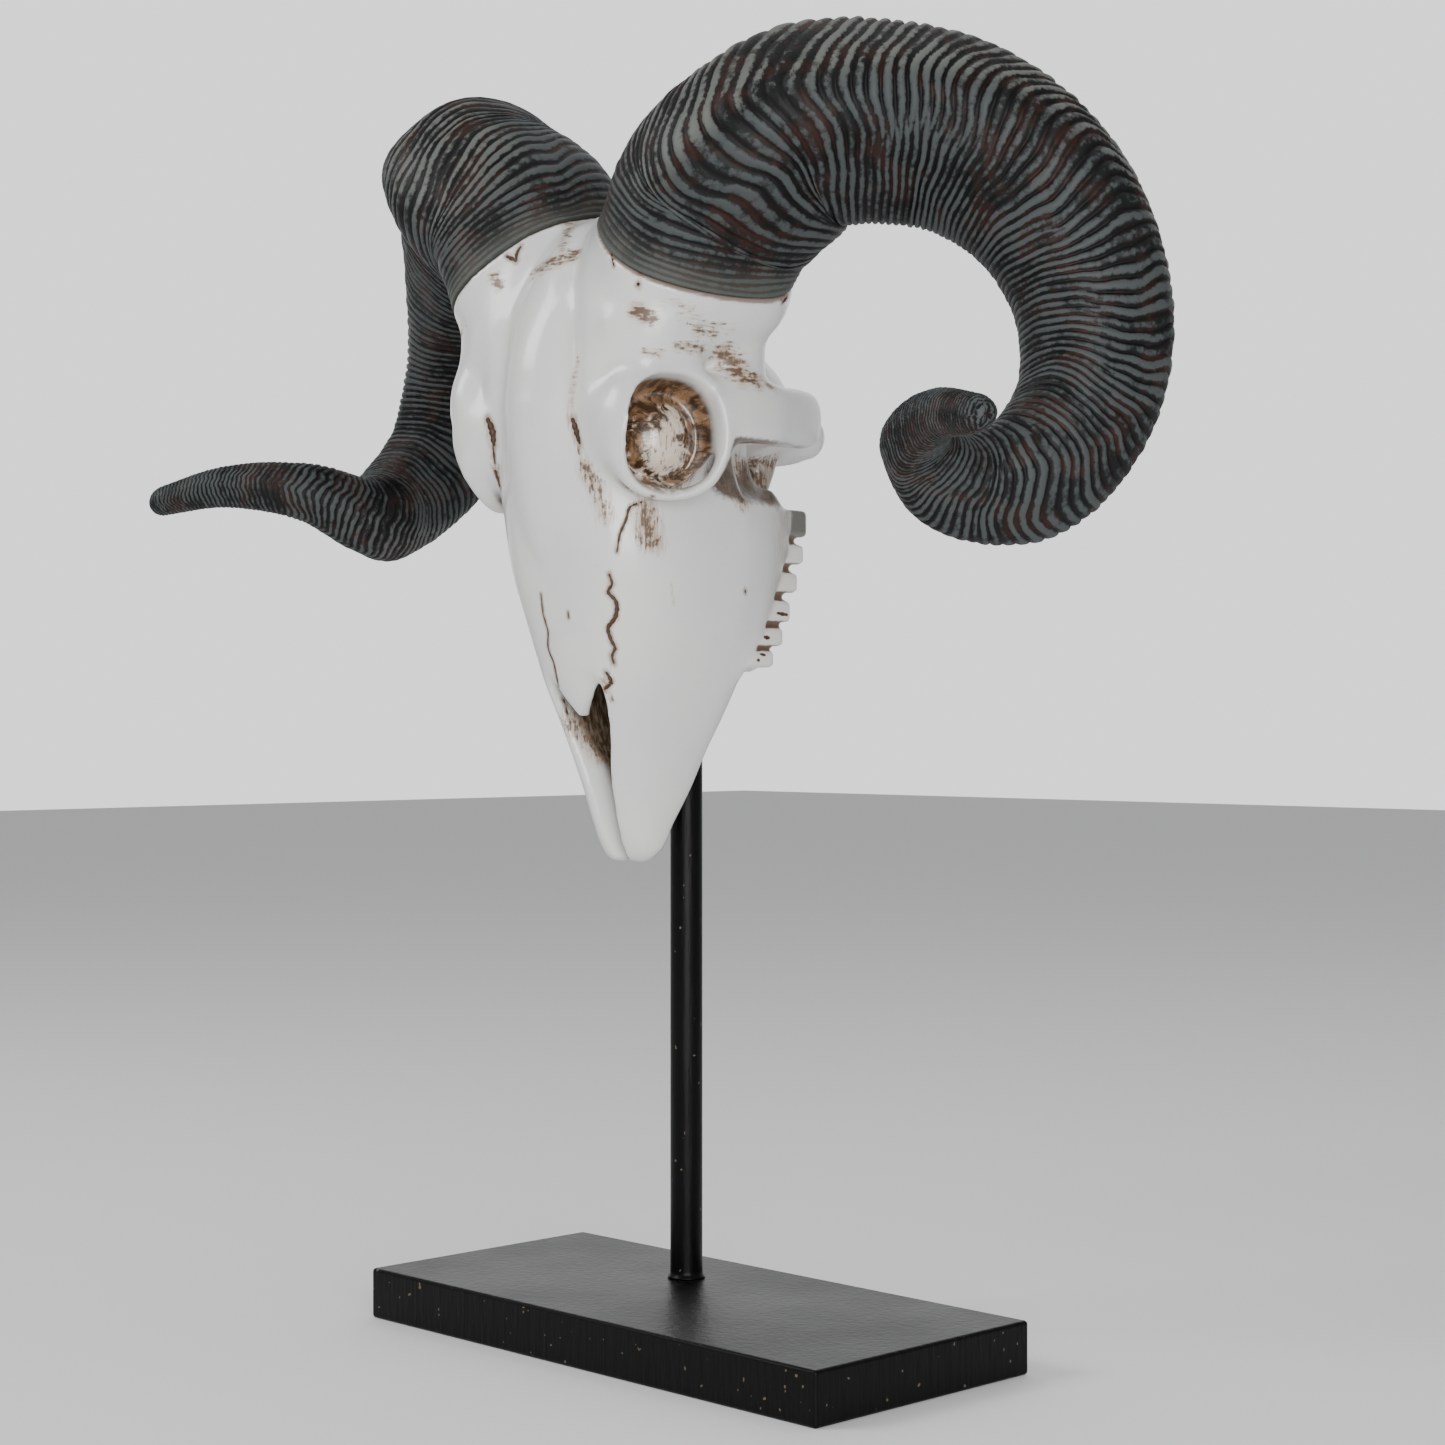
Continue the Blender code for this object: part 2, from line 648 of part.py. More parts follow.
def round_rings(rows, sides):
    """Rings of (radius, height) round the rod's axis."""
    turns = [2 * math.pi * i / sides for i in range(sides)]
    return [[(r * math.cos(t), r * math.sin(t), z) for t in turns] for r, z in rows]


def make_stand(sculpture):
    bm = bmesh.new()
    bmesh.ops.create_cube(bm, size=1)
    bm.transform(
        Matrix.Translation((0, 0, PLATE[2] / 2 * MM)) @ Matrix.Diagonal((*(side * MM for side in PLATE), 1))
    )
    bmesh.ops.bevel(
        bm, geom=bm.edges[:], offset=PLATE_EDGE * MM, segments=2, affect="EDGES", profile=0.5, material=-1
    )
    plate = mesh_object("stand_base", bm, sculpture)
    foot = PLATE[2] + GAP
    rows = (
        (WELD_RADIUS, foot), (WELD_RADIUS - 0.5, foot + 1), (ROD_RADIUS + 0.3, foot + WELD_HEIGHT),
        (ROD_RADIUS, foot + WELD_HEIGHT + 0.8), (ROD_RADIUS, ROD_TOP - 1), (ROD_RADIUS - 1, ROD_TOP),
    )
    rod = loft("stand_rod", round_rings(rows, 24), sculpture)
    move(rod, (*ROD_AT, 0))
    return plate, rod


def main():
    clear_scene()
    sculpture = new_collection("ram_skull")
    bone = material("bone_resin", (0.78, 0.78, 0.76), 0.3)
    horn = material("horn_resin", (0.05, 0.055, 0.055), 0.6)
    steel = material("stand_paint", (0.012, 0.012, 0.012), 0.4)
    make_skull(sculpture).data.materials.append(bone)
    for side, name in ((1, "horn_left"), (-1, "horn_right")):
        made = make_horn(name, horn_rings(), side, sculpture)
        move(made, (*ROD_AT, 0))
        made.data.materials.append(horn)
    for made in make_stand(sculpture):
        made.data.materials.append(steel)


if __name__ == "__main__":
    main()
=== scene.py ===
"""Ram skull sculpture on its stand: the finished look of each piece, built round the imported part."""

import math

import bmesh
import bpy
import numpy as np
from mathutils import Matrix, Vector
from mathutils.bvhtree import BVHTree


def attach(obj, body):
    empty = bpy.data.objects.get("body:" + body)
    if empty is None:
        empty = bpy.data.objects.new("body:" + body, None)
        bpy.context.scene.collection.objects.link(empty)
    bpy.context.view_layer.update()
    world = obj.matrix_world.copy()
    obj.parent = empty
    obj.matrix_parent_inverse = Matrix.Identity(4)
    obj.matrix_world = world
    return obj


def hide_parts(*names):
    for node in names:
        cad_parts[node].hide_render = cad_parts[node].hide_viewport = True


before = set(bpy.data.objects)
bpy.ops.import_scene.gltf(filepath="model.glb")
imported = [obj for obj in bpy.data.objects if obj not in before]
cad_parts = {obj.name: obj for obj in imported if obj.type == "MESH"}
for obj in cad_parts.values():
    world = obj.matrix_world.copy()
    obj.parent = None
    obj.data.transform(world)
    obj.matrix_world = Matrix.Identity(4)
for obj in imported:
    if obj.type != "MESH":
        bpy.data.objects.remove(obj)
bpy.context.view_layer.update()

# Camera. It stands level with the sculpture's middle and looks 45 degrees across the face, as in the photo.
# Places on the skull that the photograph shows are found later by looking along a line from it.
PHOTO = 1445
PHOTO_FOCUS = 2788.6
CAMERA_AT = Vector((0.8552, -0.8152, 0.2677))
CAMERA_TURN = math.radians(45.61)
CAMERA_DIP = math.radians(0.19)
camera_back = Vector((
    math.sin(CAMERA_TURN) * math.cos(CAMERA_DIP),
    -math.cos(CAMERA_TURN) * math.cos(CAMERA_DIP),
    math.sin(CAMERA_DIP),
))
camera_right = Vector((math.cos(CAMERA_TURN), math.sin(CAMERA_TURN), 0))
camera_up = camera_back.cross(camera_right)
lens = bpy.data.cameras.new("camera")
lens.sensor_width = 36
lens.lens = 36 * PHOTO_FOCUS / PHOTO
lens.clip_start = 0.05
camera = bpy.data.objects.new("camera", lens)
camera.matrix_world = Matrix.Translation(CAMERA_AT) @ Matrix(
    (camera_right, camera_up, camera_back)
).transposed().to_4x4()
bpy.context.scene.collection.objects.link(camera)
bpy.context.scene.camera = camera


def sight(across, down):
    """The direction in which the camera sees a place of the photograph."""
    return (
        camera_right * ((across - PHOTO / 2) / PHOTO_FOCUS)
        - camera_up * ((down - PHOTO / 2) / PHOTO_FOCUS)
        - camera_back
    ).normalized()


# Plate of the stand: a heavy rectangular block with small rounded edges, sprayed satin black.
# It lies flat and carries everything else; the rod is fixed to it off its middle.
MM = 0.001
PLATE = (272, 125, 22)
PLATE_EDGE = 1.6


class Wire:
    """A socket of a material, so that sums on it are written as plain arithmetic."""

    def __init__(self, paint, socket):
        self.paint = paint
        self.socket = socket

    def sum(self, operation, first, second):
        return self.paint.node("ShaderNodeMath", {"operation": operation}, {0: first, 1: second})

    def __add__(self, other):
        return self.sum("ADD", self, other)

    def __radd__(self, other):
        return self.sum("ADD", other, self)

    def __sub__(self, other):
        return self.sum("SUBTRACT", self, other)

    def __rsub__(self, other):
        return self.sum("SUBTRACT", other, self)

    def __mul__(self, other):
        return self.sum("MULTIPLY", self, other)

    def __rmul__(self, other):
        return self.sum("MULTIPLY", other, self)

    def step(self, low, high):
        """A soft step from 0 to 1 between two values."""
        return self.paint.node(
            "ShaderNodeMapRange", {"interpolation_type": "SMOOTHSTEP"},
            {"Value": self, "From Min": low, "From Max": high},
        )


class Paint:
    """A painted finish and its nodes. What is the same all over is set on the shader itself."""

    def __init__(self, name, **finish):
        self.material = bpy.data.materials.new(name)
        self.material.use_nodes = True
        self.tree = self.material.node_tree
        self.shader = self.tree.nodes["Principled BSDF"]
        for socket, value in finish.items():
            self.shader.inputs[socket.replace("_", " ")].default_value = value

    def node(self, kind, settings, inputs, output=0):
        made = self.tree.nodes.new(kind)
        for name, value in settings.items():
            setattr(made, name, value)
        for name, value in inputs.items():
            if isinstance(value, Wire):
                self.tree.links.new(value.socket, made.inputs[name])
            else:
                made.inputs[name].default_value = value
        return Wire(self, made.outputs[output])

    def feed(self, **inputs):
        for name, value in inputs.items():
            self.tree.links.new(value.socket, self.shader.inputs[name.replace("_", " ")])

    def place(self, stretch=(1, 1, 1)):
        """Object coordinates, in metres, stretched for a pattern that runs one way."""
        spot = self.node("ShaderNodeTexCoord", {}, {}, "Object")
        return self.node("ShaderNodeMapping", {}, {"Vector": spot, "Scale": stretch})

    def noise(self, scale, detail=4, rough=0.5, stretch=(1, 1, 1), warp=0):
        spot = self.place(stretch)
        look = {"Vector": spot, "Scale": scale, "Detail": detail, "Roughness": rough, "Distortion": warp}
        return self.node("ShaderNodeTexNoise", {}, look)

    def note(self, name):
        """A value that the mesh carries at each of its points."""
        return self.node("ShaderNodeAttribute", {"attribute_name": name}, {}, "Fac")

    def blend(self, share, below, above):
        """Two colours, the second laid over the first by share."""
        below, above = ((*c, 1) if isinstance(c, tuple) else c for c in (below, above))
        return self.node("ShaderNodeMix", {"data_type": "RGBA"}, {0: share, 6: below, 7: above}, 2)

    def bump(self, height, depth):
        """Relief of that depth in metres for a height from 0 to 1."""
        return self.node("ShaderNodeBump", {}, {"Height": height, "Distance": depth, "Strength": 1.0})


def finished(name, bm):
    """The bmesh as an object with smooth faces that point outwards."""
    bmesh.ops.recalc_face_normals(bm, faces=bm.faces)
    for face in bm.faces:
        face.smooth = True
    mesh = bpy.data.meshes.new(name)
    bm.to_mesh(mesh)
    bm.free()
    made = bpy.data.objects.new(name, mesh)
    bpy.context.scene.collection.objects.link(made)
    return made


def stand_piece(name, bm, node):
    """A painted piece of the stand, with its flat faces kept flat beside the rounded edges."""
    piece = finished(name, bm)
    piece.data.materials.append(stand_paint.material)
    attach(piece, "root")
    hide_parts(node)
    flat = piece.modifiers.new("flat_faces", "WEIGHTED_NORMAL")
    flat.keep_sharp = False


stand_paint = Paint("stand_paint", Specular_IOR_Level=0.13)
specks = stand_paint.noise(330, 1, 0.5).step(0.745, 0.765)
cloud = stand_paint.noise(16, 4, 0.55)
brushed_on = stand_paint.noise(300, 3, 0.6, stretch=(1, 1, 0.12))
black = stand_paint.blend(cloud, (0.001, 0.001, 0.0012), (0.0025, 0.0025, 0.0028))
stand_paint.feed(
    Base_Color=stand_paint.blend(specks * 0.6, black, (0.2, 0.15, 0.1)),
    Roughness=0.3 + cloud * 0.16 + specks * 0.2,
    Normal=stand_paint.bump(brushed_on + cloud, 0.0003),
)

bm = bmesh.new()
bmesh.ops.create_cube(bm, size=1)
bm.transform(
    Matrix.Translation((0, 0, PLATE[2] / 2 * MM)) @ Matrix.Diagonal((*(side * MM for side in PLATE), 1))
)
bmesh.ops.bevel(
    bm, geom=bm.edges[:], offset=PLATE_EDGE * MM, segments=4, affect="EDGES", profile=0.5, material=-1
)
stand_piece("plate", bm, "stand_base")

# Rod of the stand: a round steel bar, welded at its foot with a thin collar and painted with the plate.
# It goes up behind the muzzle into a seat inside the skull.
ROD_AT = (-23, 22.5)
# The rod from its foot to its top: (radius, height).
ROD_STEPS = (
    (8.2, 22.3), (8.1, 22.8), (7.7, 23.4), (7.3, 23.9), (7.08, 24.6), (7, 25.6), (7, 321), (6.7, 321.7),
    (6, 322),
)

bm = bmesh.new()
bmesh.ops.create_circle(bm, cap_ends=True, segments=64, radius=ROD_STEPS[0][0] * MM)
bmesh.ops.translate(bm, verts=bm.verts, vec=(ROD_AT[0] * MM, ROD_AT[1] * MM, ROD_STEPS[0][1] * MM))
cap = bm.faces[:]
for (radius, height), (next_radius, next_height) in zip(ROD_STEPS, ROD_STEPS[1:]):
    grown = bmesh.ops.extrude_face_region(bm, geom=cap)["geom"]
    if height > ROD_STEPS[0][1]:
        bmesh.ops.delete(bm, geom=cap, context="FACES_ONLY")
    top = [part for part in grown if isinstance(part, bmesh.types.BMVert)]
    bmesh.ops.translate(bm, verts=top, vec=(0, 0, (next_height - height) * MM))
    bmesh.ops.scale(
        bm, verts=top, vec=(next_radius / radius,) * 2 + (1,),
        space=Matrix.Translation((-ROD_AT[0] * MM, -ROD_AT[1] * MM, 0)),
    )
    cap = [part for part in grown if isinstance(part, bmesh.types.BMFace)]
stand_piece("rod", bm, "stand_rod")

# Horns: two mirrored castings that curl back, down and out to blunt tips. Each is glued to the bone on a
# slanted seam. About a hundred wavy ridges run round each one and fork on the inside of the curl.
# They are near black, dry brushed blue grey on the ridges, with rust brown left in the grooves.
# Middle line of the horn at +X, from the rod's axis: (x, y, height, radius).
HORN_LINE = (
    (46, -41.5, 458.6, 39.6), (59, -39, 480.3, 42), (82.5, -38, 494, 41.6),
    (104, -28.5, 505.6, 39.6), (145.8, 7, 500.8, 37), (176.5, 27.8, 473.1, 34.3),
    (194, 35, 430.4, 30), (198.3, 24.5, 390.3, 25.9), (196, -8, 362.5, 22),
    (185.5, -34, 358.5, 17.2), (189, -63, 369.5, 13.5), (219.5, -86, 376, 9.6), (258.5, -105, 371.5, 6.2),
)
HORN_SEAM = Vector((0.566, -0.115, 0.816)).normalized()
HORN_SEAM_REACH = 0.3
HORN_STEPS = 600
HORN_RUN_IN = 29
# Rounded corners of its section: (degrees from the front, width in degrees, share of the radius).
HORN_CORNERS = ((105, 34, 0.15), (-68, 30, 0.03))
HORN_OVAL = 0.036
HORN_KEEL_WIDTH = 25
# The keel along the horn: (share of the length, degrees, share of the radius).
HORN_KEEL = (
    (0, 20, 0.09), (0.15, 14, 0.13), (0.3, 2, 0.13), (0.4, -20, 0.1), (0.5, -50, 0.09), (0.6, -85, 0.13),
    (0.7, -115, 0.26), (0.78, -128, 0.28), (0.86, -120, 0.15), (1, -110, 0.05),
)
KEEL_FLATTENED = 0.62
# How far each casting is bent up or down along its length: (share of the length, millimetres).
HORN_LIFTS = {
    1: ((0, 0), (0.55, 0), (0.68, -2), (0.85, -2.2), (1, -1)),
    -1: ((0, 0), (0.2, 2.6), (0.5, 1), (0.62, 3), (0.75, 4.2), (0.85, 0.5), (1, -4.5)),
}
RIDGE_SPACING = (
    (0, 2.7), (0.05, 3.1), (0.14, 4.4), (0.3, 4.9), (0.5, 4.8), (0.65, 4.0), (0.8, 3.0), (0.92, 2.2),
    (1, 1.8),
)
INNER_SPACING = 3.1
RIDGE_DEPTH = (
    (0, 0.8), (0.05, 1.3), (0.2, 2), (0.55, 1.9), (0.75, 1.3), (0.9, 0.8), (1, 0.4),
)
HORN_ROWS = 880
HORN_SIDES = 108


def spline(points, count):
    """A smooth line through points, read at evenly spaced lengths, as (rows, directions, length)."""
    points = np.array(points, float)
    step = np.r_[0, np.cumsum(np.linalg.norm(np.diff(points[:, :3], axis=0), axis=1) ** 0.5)]
    slopes = np.gradient(points, step, axis=0)
    fine = []
    for i in range(len(points) - 1):
        width = step[i + 1] - step[i]
        t = np.linspace(0, 1, 40, endpoint=False)[:, None]
        fine.append(
            (1 + 2 * t) * (1 - t) ** 2 * points[i]
            + t * (1 - t) ** 2 * width * slopes[i]
            + t * t * (3 - 2 * t) * points[i + 1]
            + t * t * (t - 1) * width * slopes[i + 1]
        )
    fine = np.concatenate([*fine, points[-1:]])
    length = np.r_[0, np.cumsum(np.linalg.norm(np.diff(fine[:, :3], axis=0), axis=1))]
    at = np.linspace(0, length[-1], count)
    rows = np.stack([np.interp(at, length, fine[:, k]) for k in range(fine.shape[1])], axis=1)
    directions = np.gradient(rows[:, :3], axis=0)
    return rows, directions / np.linalg.norm(directions, axis=1)[:, None], length[-1]


def soft_step(values, low, high):
    t = np.clip((values - low) / (high - low), 0, 1)
    return t * t * (3 - 2 * t)


def ripple(along, round_turns, seed, along_scale, most_round, count=9):
    """Smooth uneven values about -1 to 1 over the horn, the same on both sides of where a turn ends."""
    dice = np.random.default_rng(seed)
    total = 0
    for _ in range(count):
        total = total + np.sin(
            along * dice.uniform(0.4, 1) * along_scale
            + round_turns * dice.integers(0, most_round + 1) * 2 * math.pi * dice.choice((-1, 1))
            + dice.uniform(0, 2 * math.pi)
        )
    return total / math.sqrt(count / 2) / 1.6


def ridge_top(phase, seed):
    """Height of the ridges, 0 in a groove to 1: round tops, narrow grooves, each ridge its own height."""
    t = np.abs(2 * (phase % 1) - 1)
    own = np.random.default_rng(seed).uniform(0.72, 1, 400)[np.floor(phase).astype(int) % 400]
    return (1 - t ** 2.7) * own


seam_middle = np.array(HORN_LINE[0][:3])
horn_lines, horn_alongs, horn_length = spline(HORN_LINE, HORN_STEPS)
horn_front = Vector((0, -1, 0))
horn_fronts = []
for along in horn_alongs:
    along = Vector(along)
    horn_front = (horn_front - along * horn_front.dot(along)).normalized()
    horn_fronts.append(horn_front)
before = np.linspace(-0.15, 0, HORN_RUN_IN + 1)[:-1]
horn_shares = np.r_[before, np.linspace(0, 1, HORN_STEPS)]
horn_alongs = np.concatenate([np.repeat(horn_alongs[:1], HORN_RUN_IN, 0), horn_alongs])
horn_fronts = np.concatenate([np.repeat(horn_fronts[:1], HORN_RUN_IN, 0), horn_fronts])
horn_sides = np.cross(horn_alongs, horn_fronts)
run_in = horn_lines[0, :3] + horn_alongs[0] * (before * horn_length)[:, None]
horn_middles = np.concatenate([run_in, horn_lines[:, :3]])
horn_radii = np.r_[np.full(HORN_RUN_IN, horn_lines[0, 3]), horn_lines[:, 3]]


def horn_skin(share, turns, more, side=1):
    """Places on the horn's skin at shares of its length and of a turn, pushed out by more millimetres.

    The casting at -X has a flatter keel under its lower curl.
    """
    keel_at, keel_angle, keel_height = zip(*HORN_KEEL)
    curl = soft_step(share, 0.58, 0.68) * (1 - soft_step(share, 0.82, 0.92))
    flat = (side < 0) * KEEL_FLATTENED * curl
    angle = (360 * turns - np.interp(share, keel_at, keel_angle) + 180) % 360 - 180
    section = 1 + HORN_OVAL * np.cos(2 * np.radians(angle))
    keel = np.interp(share, keel_at, keel_height) * (1 - flat)
    for at, width, height in ((0, HORN_KEEL_WIDTH, keel), *HORN_CORNERS):
        section = section + height * np.exp(-((((angle - at + 180) % 360 - 180) / width) ** 2))
    end = np.sqrt(1 - np.clip((share - 0.984) / 0.0162, 0, 0.995) ** 2)
    r = np.interp(share, horn_shares, horn_radii) * section * end + more
    middle, ahead, beside = (
        np.stack([np.interp(share, horn_shares, column) for column in table.T], axis=-1)
        for table in (horn_middles, horn_fronts, horn_sides)
    )
    x, y = (r * np.cos(2 * math.pi * turns))[..., None], (r * np.sin(2 * math.pi * turns))[..., None]
    return middle + ahead * x + beside * y, angle


def horn_rings(side, rows=HORN_ROWS, sides=HORN_SIDES, grow=0.0, ridged=True):
    """Rings of one horn in millimetres from the rod's axis, and what the paint needs to know there."""
    share = np.linspace(0, 1, rows)[:, None]
    turns = np.arange(sides)[None, :] / sides
    # The first ring lies in the seam, and the next ones turn square to the horn by and by.
    tried = np.linspace(-0.14, 0.15, 300)[:, None] + 0 * turns
    height = (horn_skin(tried, turns + 0 * tried, 0)[0] - seam_middle) @ np.array(HORN_SEAM)
    n = np.argmax(height > 0, axis=0)
    k = np.arange(sides)
    past = height[n, k] / (height[n, k] - height[n - 1, k])
    seam_share = tried[n, 0] - past * (tried[1, 0] - tried[0, 0])
    place = share + seam_share[None, :] * np.clip(1 - share / HORN_SEAM_REACH, 0, 1) ** 1.5
    turns = turns + 0 * share
    plain, angle = horn_skin(place, turns, grow, side)

    spacing = np.interp(share, *zip(*RIDGE_SPACING))
    number = np.cumsum(horn_length / (rows - 1) / spacing, axis=0)
    bend = np.gradient(horn_alongs, axis=0)
    for axis in range(3):
        bend[:, axis] = np.convolve(np.pad(bend[:, axis], 30, "edge"), np.ones(61) / 61, "valid")
    inner = np.unwrap(np.arctan2((bend * horn_sides).sum(1), (bend * horn_fronts).sum(1))[HORN_RUN_IN:])
    inner = np.interp(share, np.linspace(0, 1, HORN_STEPS), inner)
    inward = soft_step(np.cos(2 * math.pi * turns - inner), 0.1, 0.7)
    steps = np.linalg.norm(np.diff(plain, axis=0, prepend=plain[:1]), axis=2)
    inner_steps = (steps * inward).sum(1) / inward.sum(1)
    inner_number = np.cumsum(inner_steps / np.minimum(INNER_SPACING, spacing[:, 0]))[:, None]
    bow = 1.1 * np.exp(-((angle / 24) ** 2)) - 0.7 * np.exp(-(((angle + 68) / 26) ** 2))
    wave = 0.34 * ripple(number, turns, 5 + side, 0.22, 5) + 0.16 * ripple(number, turns, 21 + side, 0.6, 13)
    wave = wave * soft_step(number, 1, 14)
    outer_tops = ridge_top(number + 8 + bow * soft_step(number, 1, 10) + wave, 3)
    inner_tops = ridge_top(inner_number + 8 + 0.8 * wave, 4)
    tops = outer_tops * (1 - inward) + inner_tops * inward
    cut = np.interp(share, *zip(*RIDGE_DEPTH)) * (1 - 0.3 * inward) * (1 - tops)
    hairs = ripple(number * 6, turns, 31 + side, 1.0, 40, 14)
    cut = cut + 0.09 * (1 - hairs) * soft_step(number, 1, 3)

    rings = horn_skin(place, turns, grow - cut, side)[0] if ridged else plain
    rings[..., 2] += np.interp(share, *zip(*HORN_LIFTS[side]))
    rings[..., 0] *= side
    frontal = soft_step(angle, -84, -66) * (1 - soft_step(angle, -12, 6))
    notes = {
        "ridge": tops,
        "frontal": frontal * soft_step(share, 0.02, 0.1) * (1 - soft_step(share, 0.62, 0.85)),
        "foot": 1 - soft_step(number, 0, 5) + 0 * turns,
    }
    return rings, notes


def skin(name, rings, notes={}, closed=False):
    """A closed skin through rings of points in millimetres. A closed one joins its last ring to its first."""
    rings = np.array(rings, float)
    if closed:
        rings = np.concatenate([rings, rings[:1]])
    rows, sides = rings.shape[:2]
    bm = bmesh.new()
    bmesh.ops.create_grid(bm, x_segments=sides, y_segments=rows - 1, size=1)
    layers = [(bm.verts.layers.float.new(note), values) for note, values in notes.items()]
    for vert in bm.verts:
        i = round((vert.co.x + 1) / 2 * sides) % sides
        j = round((vert.co.y + 1) / 2 * (rows - 1))
        vert.co = rings[j, i] * MM
        for layer, values in layers:
            vert[layer] = values[j, i]
    bmesh.ops.remove_doubles(bm, verts=bm.verts, dist=1e-7)
    if not closed:
        bmesh.ops.holes_fill(bm, edges=[edge for edge in bm.edges if edge.is_boundary], sides=0)
    return finished(name, bm)


def place_on_rod(obj):
    obj.data.transform(Matrix.Translation(Vector((*ROD_AT, 0)) * MM))


horn_paint = Paint("horn_paint", Specular_IOR_Level=0.2)
ridge = horn_paint.note("ridge")
frontal = horn_paint.note("frontal")
blotch = horn_paint.noise(38, 4, 0.55)
fleck = horn_paint.noise(330, 4, 0.65)
rust = horn_paint.noise(60, 5, 0.6, warp=0.4).step(0.47, 0.66)
groove = horn_paint.blend(rust * 0.85, (0.003, 0.003, 0.003), (0.03, 0.009, 0.006))
body = horn_paint.blend(ridge.step(0.25, 0.75), groove, (0.006, 0.0065, 0.0065))
body = horn_paint.blend(rust * 0.55, body, (0.03, 0.012, 0.009))
brushed = (ridge + (fleck - 0.5) * 0.9 + (blotch - 0.5) * 1.1).step(0.6, 0.9)
top_colour = horn_paint.blend(frontal, (0.08, 0.092, 0.093), (0.128, 0.138, 0.124))
horn_colour = horn_paint.blend(brushed * (0.62 + frontal * 0.25), body, top_colour)
foot = horn_paint.note("foot")
horn_colour = horn_paint.blend(foot * 0.5, horn_colour, (0.1, 0.105, 0.09))
horn_paint.feed(
    Base_Color=horn_colour,
    Roughness=0.42 + fleck * 0.2,
    Normal=horn_paint.bump(fleck, 0.00025),
)

for side, name in ((1, "horn_left"), (-1, "horn_right")):
    horn = skin(name + "_cast", *horn_rings(side))
    place_on_rod(horn)
    horn.data.materials.append(horn_paint.material)
    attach(horn, "root")
    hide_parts(name)

# Skull: one hollow resin casting with its teeth, in off-white, washed with umber and varnished.
# The lower jaw is left off. It carries the horns on slanted seats and hangs on the rod.
# The face from the muzzle up: (height, front, back, half width, where it is widest, squareness of front
# and of back).
FACE_SECTIONS = (
    (204.5, -38, -28, 10.5, -33, 2.4, 2.2),
    (208, -41, -24.5, 13.5, -31, 2.4, 2.4),
    (220, -47, -17.5, 16.5, -30, 2.4, 2.8),
    (235, -52, -9.5, 20, -27, 2.5, 3.2),
    (251, -57.5, -3.5, 24, -25, 2.6, 3.6),
    (266, -63, 3, 28.2, -23, 2.7, 4.0),
    (280, -68, 8.5, 32.8, -22, 2.8, 4.0),
    (297, -72, 13, 38, -21, 2.9, 4.0),
    (311, -75.5, 16, 42, -21, 2.9, 4.0),
    (326, -79.5, 19, 45.5, -22, 2.9, 4.0),
    (341, -83.5, 21, 46.5, -24, 2.8, 4.0),
    (356, -87, 20, 45, -28, 2.8, 3.4),
    (375, -91, 15, 44, -34, 2.7, 2.8),
    (395, -93, 13, 46, -36, 2.7, 2.6),
    (415, -91.5, 12, 47, -36, 2.6, 2.4),
    (435, -87, 10, 45, -36, 2.5, 2.4),
    (450, -82, 4, 42, -36, 2.5, 2.4),
    (462, -74.5, -6, 36, -36, 2.4, 2.2),
    (474, -64, -16, 24, -36, 2.2, 2.2),
)
# The bone under each horn: (depth below the seam, shift, size beside the seam's).
BOSS_STEPS = (
    (0.3, (0, 0, 0), 1.01), (4, (0.6, 0, 0), 1.02), (10, (1, 0.5, 0), 1.015), (17, (0.5, 0.5, 0), 1.0),
    (23, (-3, -1, 0), 0.98), (31, (-9, -3, 2), 0.94), (44, (-17, -6, 5), 0.86),
)
ORBIT = Vector((58.1, -62.6, 381.7))
ORBIT_FACING = math.radians(74)
ORBIT_HALF = (22.2, 23.8)
ORBIT_DEPTH = 30
# The lip round the socket: (degrees round it, how far outside, how far out, radius).
ORBIT_RIM = (
    (0, 3.4, -1.3, 4.4), (45, 3.4, -1.3, 4.2), (90, 3.2, -1.3, 4), (135, 3, -1.5, 3.8), (180, 3, -2.2, 3.8),
    (205, 2.6, -5, 3.8), (235, 1.6, -9, 4), (270, 1.8, -8.4, 4), (315, 3, -3.6, 4.2), (360, 3.4, -1.3, 4.4),
)
# The ball cast in the socket: (behind its middle, behind its rim, radius).
EYE_BALL = (2.5, -29, 20)
# Each cheek tooth from the back: (lowest, highest, how far back it reaches). They sit in a ledge of bone.
TEETH = (
    (344.2, 356, 39), (332.4, 341, 37), (320, 328.6, 33.2), (307.2, 316.4, 28.8), (296.6, 304.6, 24.2),
    (287.4, 294.6, 18.5),
)
TOOTH_MIDDLE = 30.5
TOOTH_WIDTH = 11.5
TOOTH_LENGTH = 24
TOOTH_EDGE = 1.9
TOOTH_LEDGE = (
    (284, 1), (290, 4.4), (301, 10.4), (311, 15.3), (323, 19.6), (336, 25.8), (349, 27.6), (360, 29),
)
UNDER_BAR = ((62, -24, 368), (54, 0, 368), (46, 18, 370))
# The nose opening: (height, half width, edge, back).
NOSE_OPENING = (
    (200, 1.3, -31, -27), (210, 1.5, -33.5, -28), (222, 2.4, -37, -29), (235, 3.4, -40, -29),
    (246, 5.5, -43.5, -27), (256, 9.5, -49, -22), (267, 12.5, -54, -20), (275, 13.8, -58, -24),
    (281, 14.5, -62, -34), (285, 13, -66, -46),
)
NOSE_FLARE = 0.35
NOSE_TIP = ((304, 17, -74.3), (292, 16, -72), (283, 14.8, -69.4), (275, 9, -66.5), (266, 1.2, -62.5))
